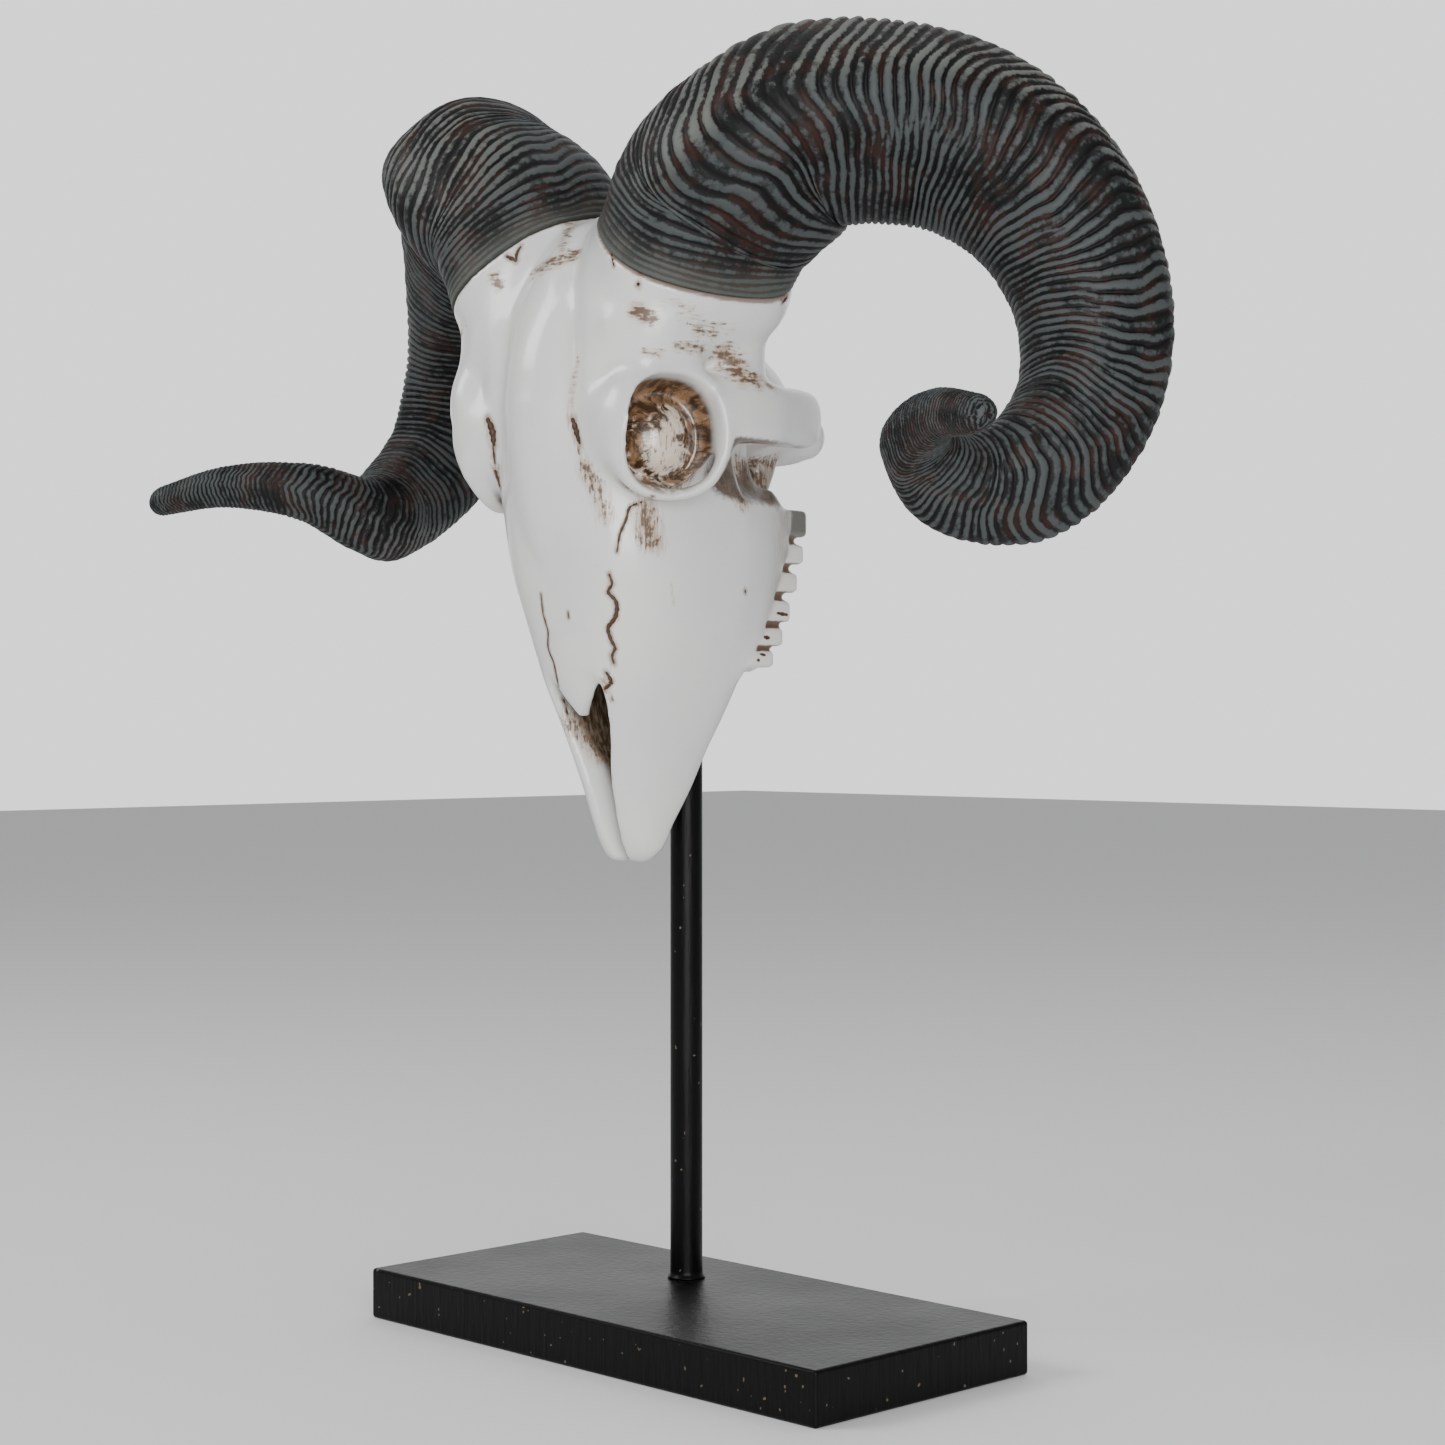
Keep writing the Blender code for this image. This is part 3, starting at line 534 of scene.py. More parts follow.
# Pressed hollows: (line on the face, width, depth, where it fades in below, where it fades out above).
HOLLOWS = (
    (((18.5, 445), (21, 405), (22, 380), (24, 345)), 7, 4.6, (350, 394), (418, 446)),
    (((6, 486), (10, 470), (14, 454), (18, 438)), 6.5, 2.6, (428, 450), (482, 492)),
)
BONE_VOXEL = 1.25
ROD_SEAT = (7.3, 150, 322.3)
# Cracks, sutures and blood holes, where the photograph shows them: (places in it, radius).
CRACKS = (
    (((609, 574), (612, 584), (608, 592), (615, 600), (617, 608), (615, 618), (608, 628), (611, 640),
      (615, 648), (612, 656), (614, 664)), 0.9),
    (((606, 672), (611, 682), (604, 690)), 0.9),
    (((541, 594), (543, 614), (548, 632), (548, 648), (554, 664), (558, 684), (564, 700), (568, 714)), 0.55),
    (((653, 496), (642, 502), (630, 507), (626, 520), (620, 534), (617, 552)), 0.5),
    (((521, 246), (517, 253), (516, 262)), 0.8), (((506, 256), (517, 261)), 0.9),
    (((642, 272), (638, 286)), 0.9), (((612, 254), (614, 266)), 0.5), (((787, 297), (782, 303)), 0.6),
    (((487, 418), (492, 430), (494, 446)), 1.7), (((493, 446), (495, 464)), 0.6),
    (((495, 470), (500, 488)), 1.6), (((572, 418), (576, 430), (580, 444)), 1.5),
    (((568, 612), (568.5, 618)), 0.3), (((745, 590), (745.5, 593)), 0.5),
    (((780, 606), (791, 607.5)), 0.9), (((777, 613), (788, 615)), 0.8), (((764, 637), (770, 638)), 0.9),
    (((760, 654), (766, 655)), 0.7), (((757, 660), (760, 660.5)), 0.7), (((789, 593), (794, 592)), 1.0),
)


def face_ring(z, front, back, half, widest, front_square, back_square):
    t = 2 * math.pi * np.arange(96) / 96
    behind = t < math.pi
    depth = np.where(behind, back - widest, widest - front)
    power = 2 / np.where(behind, back_square, front_square)
    x = half * np.sign(np.cos(t)) * np.abs(np.cos(t)) ** power
    y = widest + depth * np.sign(np.sin(t)) * np.abs(np.sin(t)) ** power
    return np.stack([x, y, np.full(96, z)], axis=1)


def smooth_table(rows, count):
    """Rows of numbers, read as smooth curves of the first column at evenly spaced places."""
    rows = np.array(rows, float)
    slopes = np.gradient(rows, rows[:, 0], axis=0)
    out = []
    for z in np.linspace(rows[0, 0], rows[-1, 0], count):
        i = min(np.searchsorted(rows[:, 0], z, "right") - 1, len(rows) - 2)
        step = rows[i + 1, 0] - rows[i, 0]
        t = (z - rows[i, 0]) / step
        out.append(
            (1 + 2 * t) * (1 - t) ** 2 * rows[i] + t * (1 - t) ** 2 * step * slopes[i]
            + t * t * (3 - 2 * t) * rows[i + 1] + t * t * (t - 1) * step * slopes[i + 1]
        )
    return out


def ball(name, centre, radii):
    bm = bmesh.new()
    bmesh.ops.create_uvsphere(bm, u_segments=64, v_segments=40, radius=1)
    bm.transform(Matrix.Translation(Vector(centre) * MM) @ Matrix.Diagonal((*(r * MM for r in radii), 1)))
    return finished(name, bm)


def bar(name, points, radii, flat=1.0, flat_axis=(0, 0, 1), square=2.0):
    """A bar through points, its radius read along it, squeezed by flat across flat_axis."""
    places, directions, _ = spline(points, 40)
    radius = np.interp(np.linspace(0, 1, 40), np.linspace(0, 1, len(radii)), radii)
    rings = []
    for place, along, r in zip(places, directions, radius):
        along = Vector(along)
        up = Vector(flat_axis) - along * Vector(flat_axis).dot(along)
        up.normalize()
        beside = along.cross(up)
        ring = []
        for i in range(36):
            c, s = math.cos(2 * math.pi * i / 36), math.sin(2 * math.pi * i / 36)
            high = r * math.copysign(abs(c) ** (2 / square), c)
            wide = r * flat * math.copysign(abs(s) ** (2 / square), s)
            ring.append(Vector(place) + up * high + beside * wide)
        rings.append(ring)
    return skin(name, rings)


def mirrored(obj):
    """Adds the mirror image of an object about the middle of the skull."""
    other = obj.copy()
    other.data = obj.data.copy()
    other.data.transform(Matrix.Scale(-1, 4, (1, 0, 0)))
    other.data.flip_normals()
    bpy.context.scene.collection.objects.link(other)
    return [obj, other]


orbit_facing = Vector((math.sin(ORBIT_FACING), -math.cos(ORBIT_FACING), 0.05)).normalized()
orbit_behind = Vector((0, 0, 1)).cross(orbit_facing).normalized()
orbit_high = orbit_facing.cross(orbit_behind)


def orbit_point(angle, across, up, out=0.0):
    """A place by the socket at +X, from the middle of its rim."""
    c, s = math.cos(angle), math.sin(angle)
    x = across * math.copysign(abs(c) ** 0.82, c)
    z = up * math.copysign(abs(s) ** 0.82, s)
    return ORBIT + orbit_behind * x + orbit_high * z + orbit_facing * out


def by_orbit(places):
    """How far places are across, up and out of the socket at +X, and from its axis in shares of its size."""
    from_orbit = places - np.array(ORBIT)
    across = from_orbit @ np.array(orbit_behind) / ORBIT_HALF[0]
    up = from_orbit @ np.array(orbit_high) / ORBIT_HALF[1]
    return across, up, from_orbit @ np.array(orbit_facing), np.sqrt(across ** 2 + up ** 2)


def orbit_rim():
    """Rings of the rounded lip round the socket."""
    table = np.array(ORBIT_RIM, float)
    middles = []
    for i in range(96):
        past, out, radius = (np.interp(3.75 * i, table[:, 0], table[:, k]) for k in (1, 2, 3))
        place = orbit_point(math.radians(3.75 * i), ORBIT_HALF[0] + past, ORBIT_HALF[1] + past, out)
        middles.append((place, radius))
    centre = sum((place for place, _ in middles), Vector()) / 96
    rings = []
    for i, (place, radius) in enumerate(middles):
        along = (middles[(i + 1) % 96][0] - middles[i - 1][0]).normalized()
        away = place - centre
        away = (away - along * away.dot(along)).normalized()
        beside = along.cross(away)
        rings.append([
            place + (away * math.cos(t) + beside * math.sin(t)) * radius
            for t in (2 * math.pi * k / 24 for k in range(24))
        ])
    return rings


def boss_rings():
    """Rings that carry the horn's seam down into the skull."""
    seam = [Vector(p) for p in horn_rings(1, rows=120, sides=72, ridged=False)[0][0]]
    middle = sum(seam, Vector()) / len(seam)
    return [
        [middle + (p - middle) * scale + Vector(shift) - HORN_SEAM * depth for p in seam]
        for depth, shift, scale in BOSS_STEPS
    ]


def tooth(low, high, back):
    """One cheek tooth: a worn block with rounded edges."""
    bm = bmesh.new()
    bmesh.ops.create_cube(bm, size=1)
    bm.transform(
        Matrix.Translation(Vector((TOOTH_MIDDLE, back - TOOTH_LENGTH / 2, (low + high) / 2)) * MM)
        @ Matrix.Diagonal((TOOTH_WIDTH * MM, TOOTH_LENGTH * MM, (high - low) * MM, 1))
    )
    bmesh.ops.bevel(
        bm, geom=bm.edges[:], offset=TOOTH_EDGE * MM, segments=4, affect="EDGES", profile=0.5, material=-1
    )
    return finished("tooth", bm)


def by_teeth(places, low, high, top):
    """Which places lie on the teeth: low to high is how far behind the ledge that starts, top its height."""
    past_ledge = places[:, 1] - np.interp(places[:, 2], *zip(*TOOTH_LEDGE))
    share = soft_step(past_ledge, low, high) * soft_step(places[:, 0], 22, 24.5)
    return share * (soft_step(places[:, 2], 284, 286.5) * (1 - soft_step(places[:, 2], 357, top)))


def settle(obj):
    """Applies the object's modifiers."""
    bpy.context.view_layer.update()
    made = bpy.data.meshes.new_from_object(obj.evaluated_get(bpy.context.evaluated_depsgraph_get()))
    obj.modifiers.clear()
    obj.data = made


def join(obj, operation, others):
    """Unites others with the object, or cuts them out of it, and removes them."""
    group = bpy.data.collections.new(operation.lower())
    for other in others:
        group.objects.link(other)
    change = obj.modifiers.new(operation.lower(), "BOOLEAN")
    change.operation = operation
    change.operand_type = "COLLECTION"
    change.collection = group
    change.solver = "MANIFOLD"
    settle(obj)
    for other in others:
        bpy.data.objects.remove(other, do_unlink=True)
    bpy.data.collections.remove(group)


def keep_largest(obj):
    """Leaves only the largest closed surface."""
    ends = np.empty(2 * len(obj.data.edges), np.int32)
    obj.data.edges.foreach_get("vertices", ends)
    ends = ends.reshape(-1, 2)
    group = np.arange(len(obj.data.vertices))
    while True:
        low = np.minimum(group[ends[:, 0]], group[ends[:, 1]])
        new = group.copy()
        np.minimum.at(new, ends[:, 0], low)
        np.minimum.at(new, ends[:, 1], low)
        new = new[new]
        if (new == group).all():
            break
        group = new
    kept = np.bincount(group).argmax()
    bm = bmesh.new()
    bm.from_mesh(obj.data)
    bmesh.ops.delete(bm, geom=[vert for vert in bm.verts if group[vert.index] != kept], context="VERTS")
    bm.to_mesh(obj.data)
    bm.free()


def points_of(obj):
    points = np.empty(3 * len(obj.data.vertices), np.float32)
    obj.data.vertices.foreach_get("co", points)
    return points.reshape(-1, 3).astype(float) / MM


def set_points(obj, points):
    obj.data.vertices.foreach_set("co", (points * MM).astype(np.float32).ravel())
    obj.data.update()


def line_distance(points, line):
    """How far each point is from the nearest stretch of a line."""
    nearest = np.full(len(points), np.inf)
    line = np.array(line, float)
    for start, end in zip(line, line[1:]):
        along = end - start
        share = np.clip((points - start) @ along / max(along @ along, 1e-9), 0, 1)
        nearest = np.minimum(nearest, np.linalg.norm(points - start - share[:, None] * along, axis=1))
    return nearest


def neighbours(obj):
    """A function that averages values over the points next to each point."""
    ends = np.empty(2 * len(obj.data.edges), np.int32)
    obj.data.edges.foreach_get("vertices", ends)
    one, two = ends.reshape(-1, 2).T
    count = np.bincount(np.r_[one, two], minlength=len(obj.data.vertices))
    count = np.maximum(count, 1)

    def average(values):
        return np.stack([
            np.bincount(np.r_[one, two], np.r_[column[two], column[one]], len(count)) / count
            for column in values.T
        ], axis=1)

    return average


skull = skin("skull_cast", [face_ring(*row) for row in smooth_table(FACE_SECTIONS, 90)])
added = [
    bar(
        "nose_band",
        ((0, -50, 456), (0, -62, 440), (0, -73.5, 415), (0, -74.5, 390), (0, -69.5, 360), (0, -61.5, 330),
         (0, -57.5, 300), (0, -57, 286), (0, -57, 276)),
        (16, 20, 22, 22, 22, 21, 18, 15, 12),
    ),
    bar(
        "wedge", ((0, -64, 436), (0, -56, 455), (0, -48, 471), (0, -44, 481)), (22, 17, 11, 6), 0.8,
        (0, -1, 0),
    ),
    ball("braincase", (0, -6, 424), (38, 37, 38)),
    ball("heavy_brow", (-49.5, -68.5, 401), (14, 22, 24)),
    bar("crown", ((0, -30, 452), (0, -6, 440), (0, 14, 424)), (30, 32, 30)),
    bar("occiput", ((0, 10, 405), (0, 40, 396), (0, 62, 393), (0, 73, 393)), (30, 26, 17, 11.5), 1.15),
]
for half in (
    skin("boss", boss_rings()),
    ball("brow", (38, -60, 424), (29, 27, 22)),
    ball("condyle", (13, 62, 391), (9, 9, 11)),
    ball("socket_cup", (42, -60.5, 386), (27, 29, 27)),
    skin("rim", orbit_rim(), closed=True),
    bar(
        "cheek_bar", ((60, -44, 389), (61, -26, 391), (59, -6, 392.5), (53, 13, 393), (46.5, 28.5, 393)),
        (12, 12.4, 13, 13.6, 13.6), 0.6, square=3.2,
    ),
    bar("ear_bone", ((46, 22, 392), (30, 19, 393), (12, 14, 400)), (11, 11, 13)),
    bar(
        "tooth_bed", ((28, -3, 284), (31, 3, 300), (33, 9, 320), (33, 14, 335), (32, 18, 350), (27, 19, 364)),
        (6.5, 7.5, 9, 10.3, 10, 8), 0.8,
    ),
    bar(
        "gums",
        ((30, 5, 288), (30, 12, 296), (30, 17, 306), (30, 21.5, 318), (30, 25.5, 330), (30, 28.5, 342),
         (30, 30, 351)),
        (5, 5),
    ),
    bar("temple_wall", ((48, -24, 444), (49, -24, 420), (50, -26, 396)), (18, 16.5, 17)),
    bar("palate_wing", ((16, 16, 345), (14, 28, 362), (14, 36, 380)), (8, 6.5, 7), 0.6),
    *(tooth(*row) for row in TEETH),
):
    added += mirrored(half)
join(skull, "UNION", added)

hollow = []
for k in range(17):
    shrink = math.sqrt(1 - (0.96 * k / 16) ** 2.6)
    across, up = ORBIT_HALF[0] * shrink, ORBIT_HALF[1] * shrink
    hollow.append([
        orbit_point(2 * math.pi * i / 64, across, up, 14 - (14 + ORBIT_DEPTH) * k / 16) for i in range(64)
    ])
opening = []
for z, half, edge, back in smooth_table(NOSE_OPENING, 32):
    wide = half + NOSE_FLARE * (edge + 95)
    rim_line = ((wide, -95), (half, edge), (half, back - 2), (0.6 * half, back))
    opening.append([(x, y, z) for x, y in rim_line] + [(-x, y, z) for x, y in reversed(rim_line)])
join(skull, "DIFFERENCE", [
    skin("nose_opening", opening),
    bar("palate_hollow", ((0, 26, 282), (0, 33, 306), (0, 38, 335), (0, 40, 362)), (9, 15, 18, 15)),
    bar("brain_hole", ((0, 66, 393), (0, 80, 393), (0, 95, 393)), (6.5, 6.5)),
    *mirrored(skin("socket_hollow", hollow)),
    *mirrored(bar("temple", ((44, -6, 396), (43, -3, 380), (44, 3, 362)), (8, 10, 11))),
    *mirrored(bar("under_bar", UNDER_BAR, (11, 12, 12))),
])
tip = []
for z, half, front in smooth_table(NOSE_TIP[::-1], 20):
    t = 2 * math.pi * np.arange(32) / 32
    x = half * np.sign(np.cos(t)) * np.abs(np.cos(t)) ** 0.77
    y = front + 3.6 + 3.6 * np.sign(np.sin(t)) * np.abs(np.sin(t)) ** 0.77 + 0.012 * x * x
    tip.append(np.stack([x, y, np.full(32, z)], axis=1))
join(skull, "UNION", [
    skin("nose_tip", tip),
    *mirrored(ball("eye_ball", orbit_point(0, EYE_BALL[0], 0, EYE_BALL[1]), (EYE_BALL[2],) * 3)),
])
keep_largest(skull)

cast = skull.modifiers.new("cast", "REMESH")
cast.mode = "VOXEL"
cast.voxel_size = BONE_VOXEL * MM
settle(skull)
points = points_of(skull)
average = neighbours(skull)
beside = points.copy()
beside[:, 0] = np.abs(beside[:, 0])
_, _, orbit_out, from_axis = by_orbit(beside)
seam_height = (beside - seam_middle) @ np.array(HORN_SEAM)
teeth = by_teeth(beside, -1.5, 1, 360)
softness = (0.6 * (1 - 0.95 * teeth))[:, None]
for _ in range(12):
    points += softness * (average(points) - points)
# Where the bones run into each other the casting is rounder still, but for the lip of the socket.
blended = soft_step(beside[:, 2], 335, 352) * (1 - 0.75 * soft_step(beside[:, 1], -38, -26))
gum_bone = soft_step(beside[:, 1], -10, 0) * soft_step(beside[:, 2], 284, 292)
blended = np.maximum(blended, 0.8 * gum_bone * soft_step(beside[:, 0], 22, 26))
blended *= 1 - (1 - soft_step(from_axis, 1.08, 1.3)) * (orbit_out > -42)
blended *= 1 - 0.97 * soft_step(seam_height, -6, -2)
softness = 0.6 * (blended * (1 - teeth))[:, None]
for _ in range(90):
    points += softness * (average(points) - points)
forehead = soft_step(beside[:, 2], 398, 412) * soft_step(-beside[:, 1], 30, 42)
forehead *= 1 - soft_step(beside[:, 0], 30, 44)
softness *= (forehead * (1 - 0.7 * soft_step(beside[:, 2], 466, 476)))[:, None]
for _ in range(240):
    points += softness * (average(points) - points)
front = points[:, 1] < -38
flat_places = np.stack([np.abs(points[:, 0]), points[:, 2]], axis=1)
for line, width, depth, foot_of_it, top_of_it in HOLLOWS:
    fade = soft_step(points[:, 2], *foot_of_it) * (1 - soft_step(points[:, 2], *top_of_it))
    points[:, 1] += front * fade * depth * np.exp(-((line_distance(flat_places, line) / width) ** 2))
set_points(skull, points)

# Cracks and holes are cut into the casting while it is still unpainted, so that the wash runs into them.
bone_paint = Paint("bone_paint", Specular_IOR_Level=0.55, Coat_Roughness=0.12)
crack_paint = Paint("crack_paint", Roughness=0.5)
rough_wash = crack_paint.noise(260, 3, 0.6)
crack_paint.feed(Base_Color=crack_paint.blend(rough_wash, (0.03, 0.014, 0.006), (0.11, 0.052, 0.022)))
skull.data.materials.clear()
skull.data.materials.append(bone_paint.material)
skull.data.materials.append(crack_paint.material)
place_on_rod(skull)
skull.data.update()
surface = BVHTree.FromObject(skull, bpy.context.evaluated_depsgraph_get())


def seen(across, down):
    """Where the photograph's place lies on the skull, in millimetres, and the way the surface faces there."""
    hit, normal, _, _ = surface.ray_cast(CAMERA_AT, sight(across, down))
    return (np.array(hit) / MM, np.array(normal)) if hit else (None, None)


def seen_line(places):
    found = [seen(*place)[0] for place in places]
    return [place for place in found if place is not None]


cuts = []
crack_lines = []
for places, radius in CRACKS:
    line = seen_line(places)
    if len(line) < 2:
        continue
    crack_lines.append((line, radius))
    rows, directions, _ = spline(line, 4 * len(line))
    rings = []
    for n, (place, along) in enumerate(zip(rows, directions)):
        along = Vector(along)
        up = along.orthogonal().normalized()
        level = along.cross(up)
        fade = 0.35 + 0.65 * math.sin(math.pi * (n + 0.5) / len(rows))
        r = radius * fade * (1 + 0.25 * math.sin(2.3 * n))
        rings.append([
            Vector(place) + (up * math.cos(t) + level * math.sin(t)) * r
            for t in (2 * math.pi * k / 8 for k in range(8))
        ])
    cut = skin("crack", rings)
    cut.data.materials.append(crack_paint.material)
    cuts.append(cut)
for side in (1, -1):
    rings, _ = horn_rings(side, rows=120, sides=72, grow=0.3, ridged=False)
    rings = rings[:40]
    rings[0] -= np.array(HORN_SEAM) * (side, 1, 1) * 0.3
    seat = skin("horn_seat", rings)
    place_on_rod(seat)
    seat.data.materials.append(bone_paint.material)
    cuts.append(seat)
bm = bmesh.new()
bmesh.ops.create_cone(
    bm, cap_ends=True, segments=64, radius1=ROD_SEAT[0] * MM, radius2=ROD_SEAT[0] * MM,
    depth=(ROD_SEAT[2] - ROD_SEAT[1]) * MM,
    matrix=Matrix.Translation(Vector((*ROD_AT, (ROD_SEAT[1] + ROD_SEAT[2]) / 2)) * MM),
)
seat = finished("rod_seat", bm)
seat.data.materials.append(bone_paint.material)
cuts.append(seat)
join(skull, "DIFFERENCE", cuts)
keep_largest(skull)

# Wash, stains and painted shade, worked out at each point of the casting: hollows hold the wash, the wide ones
# with painted shade as well, and the strokes lie where the photograph shows them, as (places in it, width in
# millimetres, strength). A few strokes are painted shade in the recess under the cheek bar.
STAINS_AND_SHADE = (
    (((586, 466), (597, 488), (606, 514)), 5, 0.85), (((645, 514), (648, 528), (652, 540)), 7, 0.95),
    (((697, 328), (714, 333)), 4, 0.85), (((678, 345), (702, 350)), 3.6, 0.75),
    (((722, 352), (742, 374)), 6.5, 1.1), (((742, 372), (758, 382)), 4.5, 0.95),
    (((636, 311), (651, 318)), 4, 1.1), (((646, 352), (660, 353)), 3, 0.7),
    (((758, 376), (774, 388)), 3, 0.7), (((684, 316), (728, 330)), 5, 0.55), (((664, 301), (694, 308)), 3, 0.5),
    (((700, 340), (736, 350)), 4, 0.45),
    (((536, 272), (552, 262), (574, 256)), 5, 0.95), (((556, 262), (566, 240), (571, 222)), 4, 0.75),
    (((573, 258), (570, 280)), 2, 0.25), (((494, 278), (498, 284)), 4, 1.0),
    (((464, 322), (468, 330)), 4, 0.35), (((578, 360), (573, 385), (571, 408)), 2.2, 0.55),
    (((487, 422), (492, 450), (497, 478)), 3.4, 0.6), (((571, 415), (576, 432), (581, 450)), 3, 0.6),
    (((568, 722), (582, 730), (600, 752)), 7, 0.8), (((671, 584), (674, 606)), 1.1, 0.5),
    # The second stroke below and the two after it are painted shade in the recess under the cheek bar.
    (((597, 566), (600, 574)), 2, 0.3), (((740, 470), (760, 480)), 8, 1.0),
    (((752, 462), (776, 462)), 5, 0.9), (((736, 476), (742, 500)), 6, 0.9),
    (((776, 395), (776, 430)), 0.9, 0.25),
    (((612, 700), (606, 688), (603, 680)), 2, 0.7),
)
points = points_of(skull)
average = neighbours(skull)
normals = np.empty(3 * len(points), np.float32)
skull.data.vertex_normals.foreach_get("vector", normals)
normals = normals.reshape(-1, 3)
lean = points - (*ROD_AT, 0)
smooth = points.copy()
for _ in range(10):
    smooth = average(smooth)
fine_hollow = ((smooth - points) * normals).sum(1)
for _ in range(60):
    smooth = average(smooth)
wide_hollow = ((smooth - points) * normals).sum(1)
stain_and_shade = np.zeros(len(points))
for places, width, strength in STAINS_AND_SHADE:
    line = seen_line(places)
    # A stroke well to one side has a weaker twin on the side that the photograph doesn't show.
    twin = [(2 * ROD_AT[0] - x, y, z + 2) for x, y, z in line if x > ROD_AT[0] + 25]
    for stretch, full in ((line, strength), (twin, 0.85 * strength)):
        if len(stretch) > 1:
            stain_and_shade = np.maximum(stain_and_shade, full * np.exp(-((line_distance(points, stretch) / width) ** 2)))
suture = np.zeros(len(points))
for line, radius in crack_lines:
    suture = np.maximum(suture, np.exp(-((line_distance(points, line) / (1.1 + radius)) ** 2)))
beside = np.stack([np.abs(lean[:, 0]), lean[:, 1], lean[:, 2]], axis=1)
orbit_across, orbit_up, orbit_out, from_axis = by_orbit(beside)
socket = soft_step(-orbit_out, 2, 8) * (1 - soft_step(from_axis, 1.02, 1.12)) * soft_step(orbit_out, -42, -38)
eye_centre = np.array(orbit_point(0, EYE_BALL[0], 0, EYE_BALL[1]))
from_eye = np.linalg.norm(beside - eye_centre, axis=1)
eye = (1 - soft_step(from_eye, EYE_BALL[2] - 0.5, EYE_BALL[2] + 2)) * socket
eye *= 1 - soft_step(np.hypot(orbit_across - 0.1, orbit_up), 0.3, 0.85)
nose_half = np.interp(lean[:, 2], *np.array(NOSE_OPENING)[:, :2].T)
nose_edge = np.interp(lean[:, 2], np.array(NOSE_OPENING)[:, 0], np.array(NOSE_OPENING)[:, 2])
nose = soft_step(lean[:, 1] - nose_edge, -2, 4) * (1 - soft_step(beside[:, 0] - nose_half, 1, 2.5))
nose *= (lean[:, 2] < 286) * (lean[:, 1] < 0) * (lean[:, 2] > 200)
# Mask for a brown line along each horn's seam: partly a dark joint, partly painted shade in the join.
from_seam = beside - seam_middle
seam_height = from_seam @ np.array(HORN_SEAM)
seam = np.exp(-(((seam_height + 0.8) / 1.5) ** 2)) * (np.linalg.norm(from_seam, axis=1) < 60)
# Painted shade: the lower back of the skull, behind and below the cheek bars, is darkened.
under = soft_step(lean[:, 1], 4, 26) * (1 - soft_step(lean[:, 2], 372, 384))
# Painted shade: the recess under each cheek bar.
recess_shade = (1 - soft_step(line_distance(beside, UNDER_BAR), 16, 22)) * soft_step(beside[:, 2], 352, 362)
recess_shade *= (1 - soft_step(beside[:, 2], 379, 383)) * soft_step(from_axis, 1.12, 1.3)
teeth = by_teeth(beside, -1.2, 0.6, 359)
gum = np.full(len(points), 9.0)
for (low, _, _), (_, high, _) in zip(TEETH, TEETH[1:]):
    gum = np.minimum(gum, np.abs(beside[:, 2] - (low + high) / 2) - (low - high) / 2)
teeth_gaps = teeth * (1 - soft_step(gum, -0.6, 1.2))
for name, values in (
    ("fine_hollow", fine_hollow), ("wide_hollow", wide_hollow), ("stain_and_shade", stain_and_shade), ("suture", suture),
    ("socket", socket), ("eye", eye), ("nose", nose), ("seam", seam), ("under", under), ("recess_shade", recess_shade),
    ("teeth", teeth),
    ("upper", soft_step(lean[:, 2], 390, 400)), ("eye_top", np.clip(orbit_up, -1, 1) * socket),
    ("teeth_gaps", teeth_gaps), ("last_tooth_shade", teeth * soft_step(beside[:, 2], 341, 345)),
):
    layer = skull.data.attributes.new(name, "FLOAT", "POINT")
    layer.data.foreach_set("value", values.astype(np.float32))
for face in skull.data.polygons:
    face.use_smooth = True

cloud = bone_paint.noise(16, 4, 0.5)
upright = bone_paint.noise(760, 4, 0.62, stretch=(1, 1, 0.16), warp=0.25)
level = bone_paint.noise(760, 4, 0.62, stretch=(0.2, 0.2, 1), warp=0.25)
upper = bone_paint.note("upper")
streak = upright * (1 - upper) + level * upper
grain = bone_paint.noise(420, 4, 0.6)
brush = bone_paint.noise(260, 5, 0.62, stretch=(0.35, 1, 1), warp=0.9)
bone = bone_paint.blend(cloud.step(0.35, 0.68), (0.64, 0.65, 0.645), (0.72, 0.715, 0.69))
# Wide hollows turn a darker yellowish tone: partly a faint wash, partly painted shade in the broad valleys.
sunk_wash_and_shade = (bone_paint.note("wide_hollow") + (cloud - 0.5) * 1.2).step(0.3, 2.6)
bone = bone_paint.blend(sunk_wash_and_shade * 0.4, bone, (0.5, 0.475, 0.4))
wash = bone_paint.note("fine_hollow").step(0.3, 0.95) * 0.75 + bone_paint.note("suture") * 0.75
wash = (wash + (streak - 0.5) * 0.7 * wash.step(0.02, 0.3)).step(0.12, 0.85)
bone = bone_paint.blend(wash * 0.85, bone, (0.2, 0.115, 0.055))
stroke = bone_paint.note("stain_and_shade")
near_stroke = stroke.step(0.02, 0.4)
halo = (stroke + ((streak - 0.5) * 1.6 + (cloud - 0.5)) * near_stroke).step(0.18, 0.95)
bone = bone_paint.blend(halo * 0.7, bone, (0.42, 0.28, 0.16))
dark_stroke = (stroke + ((streak - 0.5) * 2.2 + (grain - 0.5) * 1.6) * near_stroke).step(0.6, 1.1)
bone = bone_paint.blend(dark_stroke * 0.92, bone, (0.085, 0.038, 0.015))
# A brown line along each horn's seam: partly a dark joint, partly painted shade where the horn meets the bone.
seam_joint_and_shade = (bone_paint.note("seam") + (streak - 0.5) * 1.1).step(0.35, 0.9)
bone = bone_paint.blend(seam_joint_and_shade * 0.75, bone, (0.15, 0.07, 0.035))
# Painted shade: dark brown over the lower back of the skull.
bone = bone_paint.blend(bone_paint.note("under") * (0.55 + (streak - 0.5) * 0.8), bone, (0.1, 0.06, 0.035))
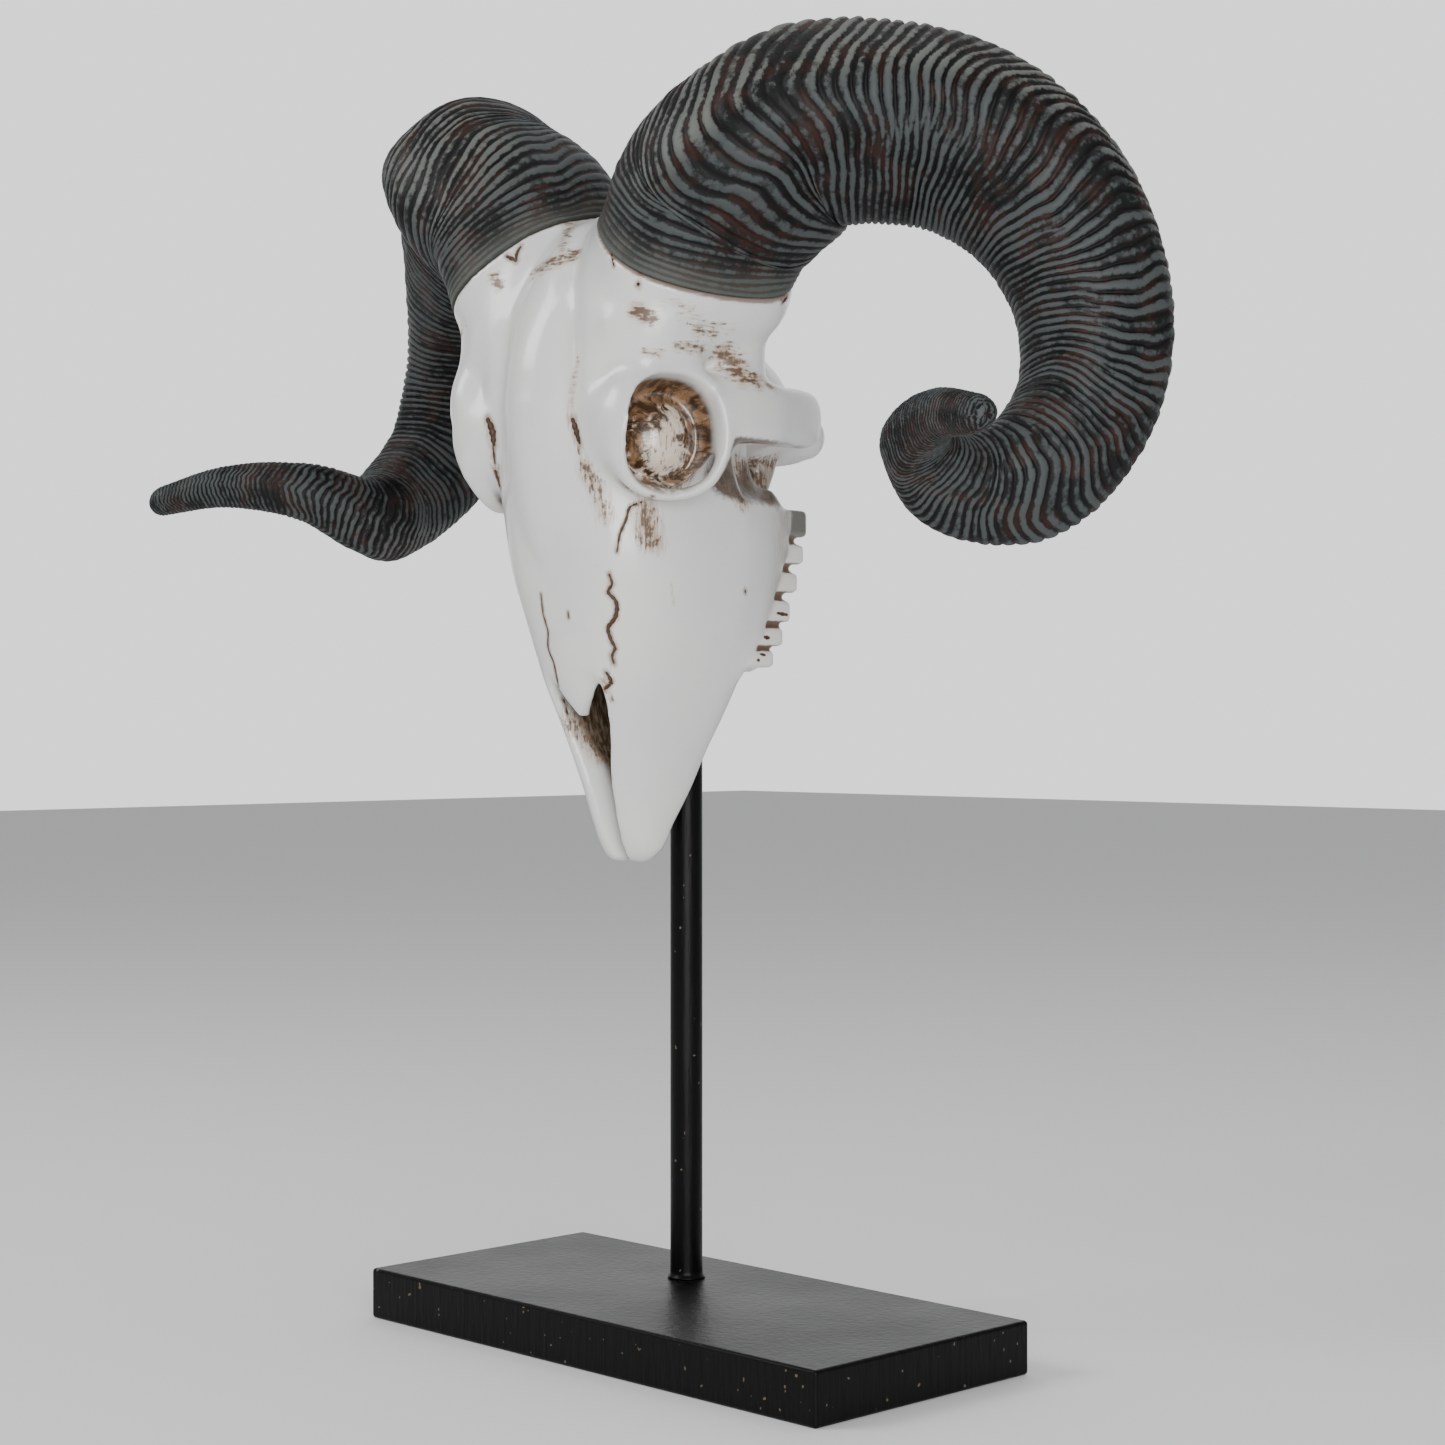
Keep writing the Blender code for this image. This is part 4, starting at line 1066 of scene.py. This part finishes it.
# Painted shade: the recess under each cheek bar is darkened to deep brown.
bone = bone_paint.blend(
    (bone_paint.note("recess_shade") + (brush - 0.5) * 0.9).step(0.2, 0.8) * 0.95, bone,
    bone_paint.blend(brush.step(0.4, 0.65), (0.035, 0.02, 0.01), (0.12, 0.07, 0.04)),
)
teeth_mask = bone_paint.note("teeth")
# The teeth are off-white with brown between them; the last tooth is painted dark grey as painted shade.
bone = bone_paint.blend(
    teeth_mask, bone,
    bone_paint.blend(
        (bone_paint.note("teeth_gaps") + (grain - 0.5) * 0.7).step(0.2, 0.7),
        bone_paint.blend(bone_paint.note("last_tooth_shade") * 0.93, (0.68, 0.67, 0.63), (0.08, 0.078, 0.068)),
        (0.09, 0.045, 0.02),
    ),
)
socket_colour = bone_paint.blend(brush.step(0.42, 0.62), (0.035, 0.017, 0.007), (0.27, 0.155, 0.08))
eye_mask = bone_paint.note("eye")
patch = bone_paint.noise(75, 4, 0.6, warp=0.6)
pale = eye_mask * 0.7 + (brush - 0.5) * 1.4 + (patch - 0.5) * 2.4 - bone_paint.note("eye_top") * 0.45
pale = pale.step(0.38, 0.72)
socket_colour = bone_paint.blend(pale, socket_colour, (0.66, 0.56, 0.46))
scratches = bone_paint.noise(900, 3, 0.6, stretch=(1, 1, 0.1), warp=0.3)
socket_colour = bone_paint.blend(scratches.step(0.55, 0.68) * 0.75, socket_colour, (0.07, 0.032, 0.013))
bone = bone_paint.blend(bone_paint.note("socket"), bone, socket_colour)
# Inside the nose opening: dark brown streaks, partly a brown wash, partly painted shade in the opening.
nose_colour = bone_paint.blend(streak.step(0.38, 0.66), (0.055, 0.03, 0.015), (0.22, 0.17, 0.12))
bone = bone_paint.blend(bone_paint.note("nose"), bone, nose_colour)
bone_paint.feed(
    Base_Color=bone,
    Roughness=0.24 + grain * 0.12 + wash * 0.1 + dark_stroke * 0.12,
    Coat_Weight=0.5 + bone_paint.note("socket") * 0.5 - dark_stroke * 0.3,
    Normal=bone_paint.bump(grain * 0.25 + cloud * 2.0 + stroke * streak * 0.6, 0.0005),
)
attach(skull, "root")
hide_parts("skull")

# Studio: a plain pale floor, a soft light on each side of the camera and a wide one overhead.
bm = bmesh.new()
bmesh.ops.create_grid(bm, x_segments=1, y_segments=1, size=6)
floor = finished("floor", bm)
floor_paint = Paint("floor_paint", Base_Color=(0.9, 0.9, 0.9, 1), Roughness=0.8)
floor.data.materials.append(floor_paint.material)
for name, place, aim, energy, size in (
    ("key", (-0.95, -1.3, 1.35), (0, 0, 0.38), 17, 0.8),
    ("fill", (1.3, -0.95, 0.45), (0, 0, 0.3), 23, 0.9),
    ("top", (0.1, 0.3, 1.9), (0, 0, 0.3), 7, 1.4),
):
    light = bpy.data.lights.new(name, "AREA")
    light.energy = energy
    light.size = size
    lamp = bpy.data.objects.new(name, light)
    lamp.location = place
    lamp.rotation_euler = (Vector(aim) - Vector(place)).to_track_quat("-Z", "Y").to_euler()
    bpy.context.scene.collection.objects.link(lamp)
# The far side of the room, behind the sculpture, is lit brighter than the rest of it.
world = bpy.data.worlds.new("studio")
world.use_nodes = True
room = world.node_tree
room.nodes["Background"].inputs["Color"].default_value = (0.95, 0.96, 0.97, 1)
way = room.nodes.new("ShaderNodeTexCoord")
behind = room.nodes.new("ShaderNodeVectorMath")
behind.operation = "DOT_PRODUCT"
behind.inputs[1].default_value = -camera_back
lit = room.nodes.new("ShaderNodeMapRange")
lit.interpolation_type = "SMOOTHSTEP"
for socket, value in (("From Min", 0.55), ("From Max", 0.9), ("To Min", 0.34), ("To Max", 1.5)):
    lit.inputs[socket].default_value = value
room.links.new(way.outputs["Generated"], behind.inputs[0])
room.links.new(behind.outputs["Value"], lit.inputs["Value"])
room.links.new(lit.outputs["Result"], room.nodes["Background"].inputs["Strength"])
bpy.context.scene.world = world
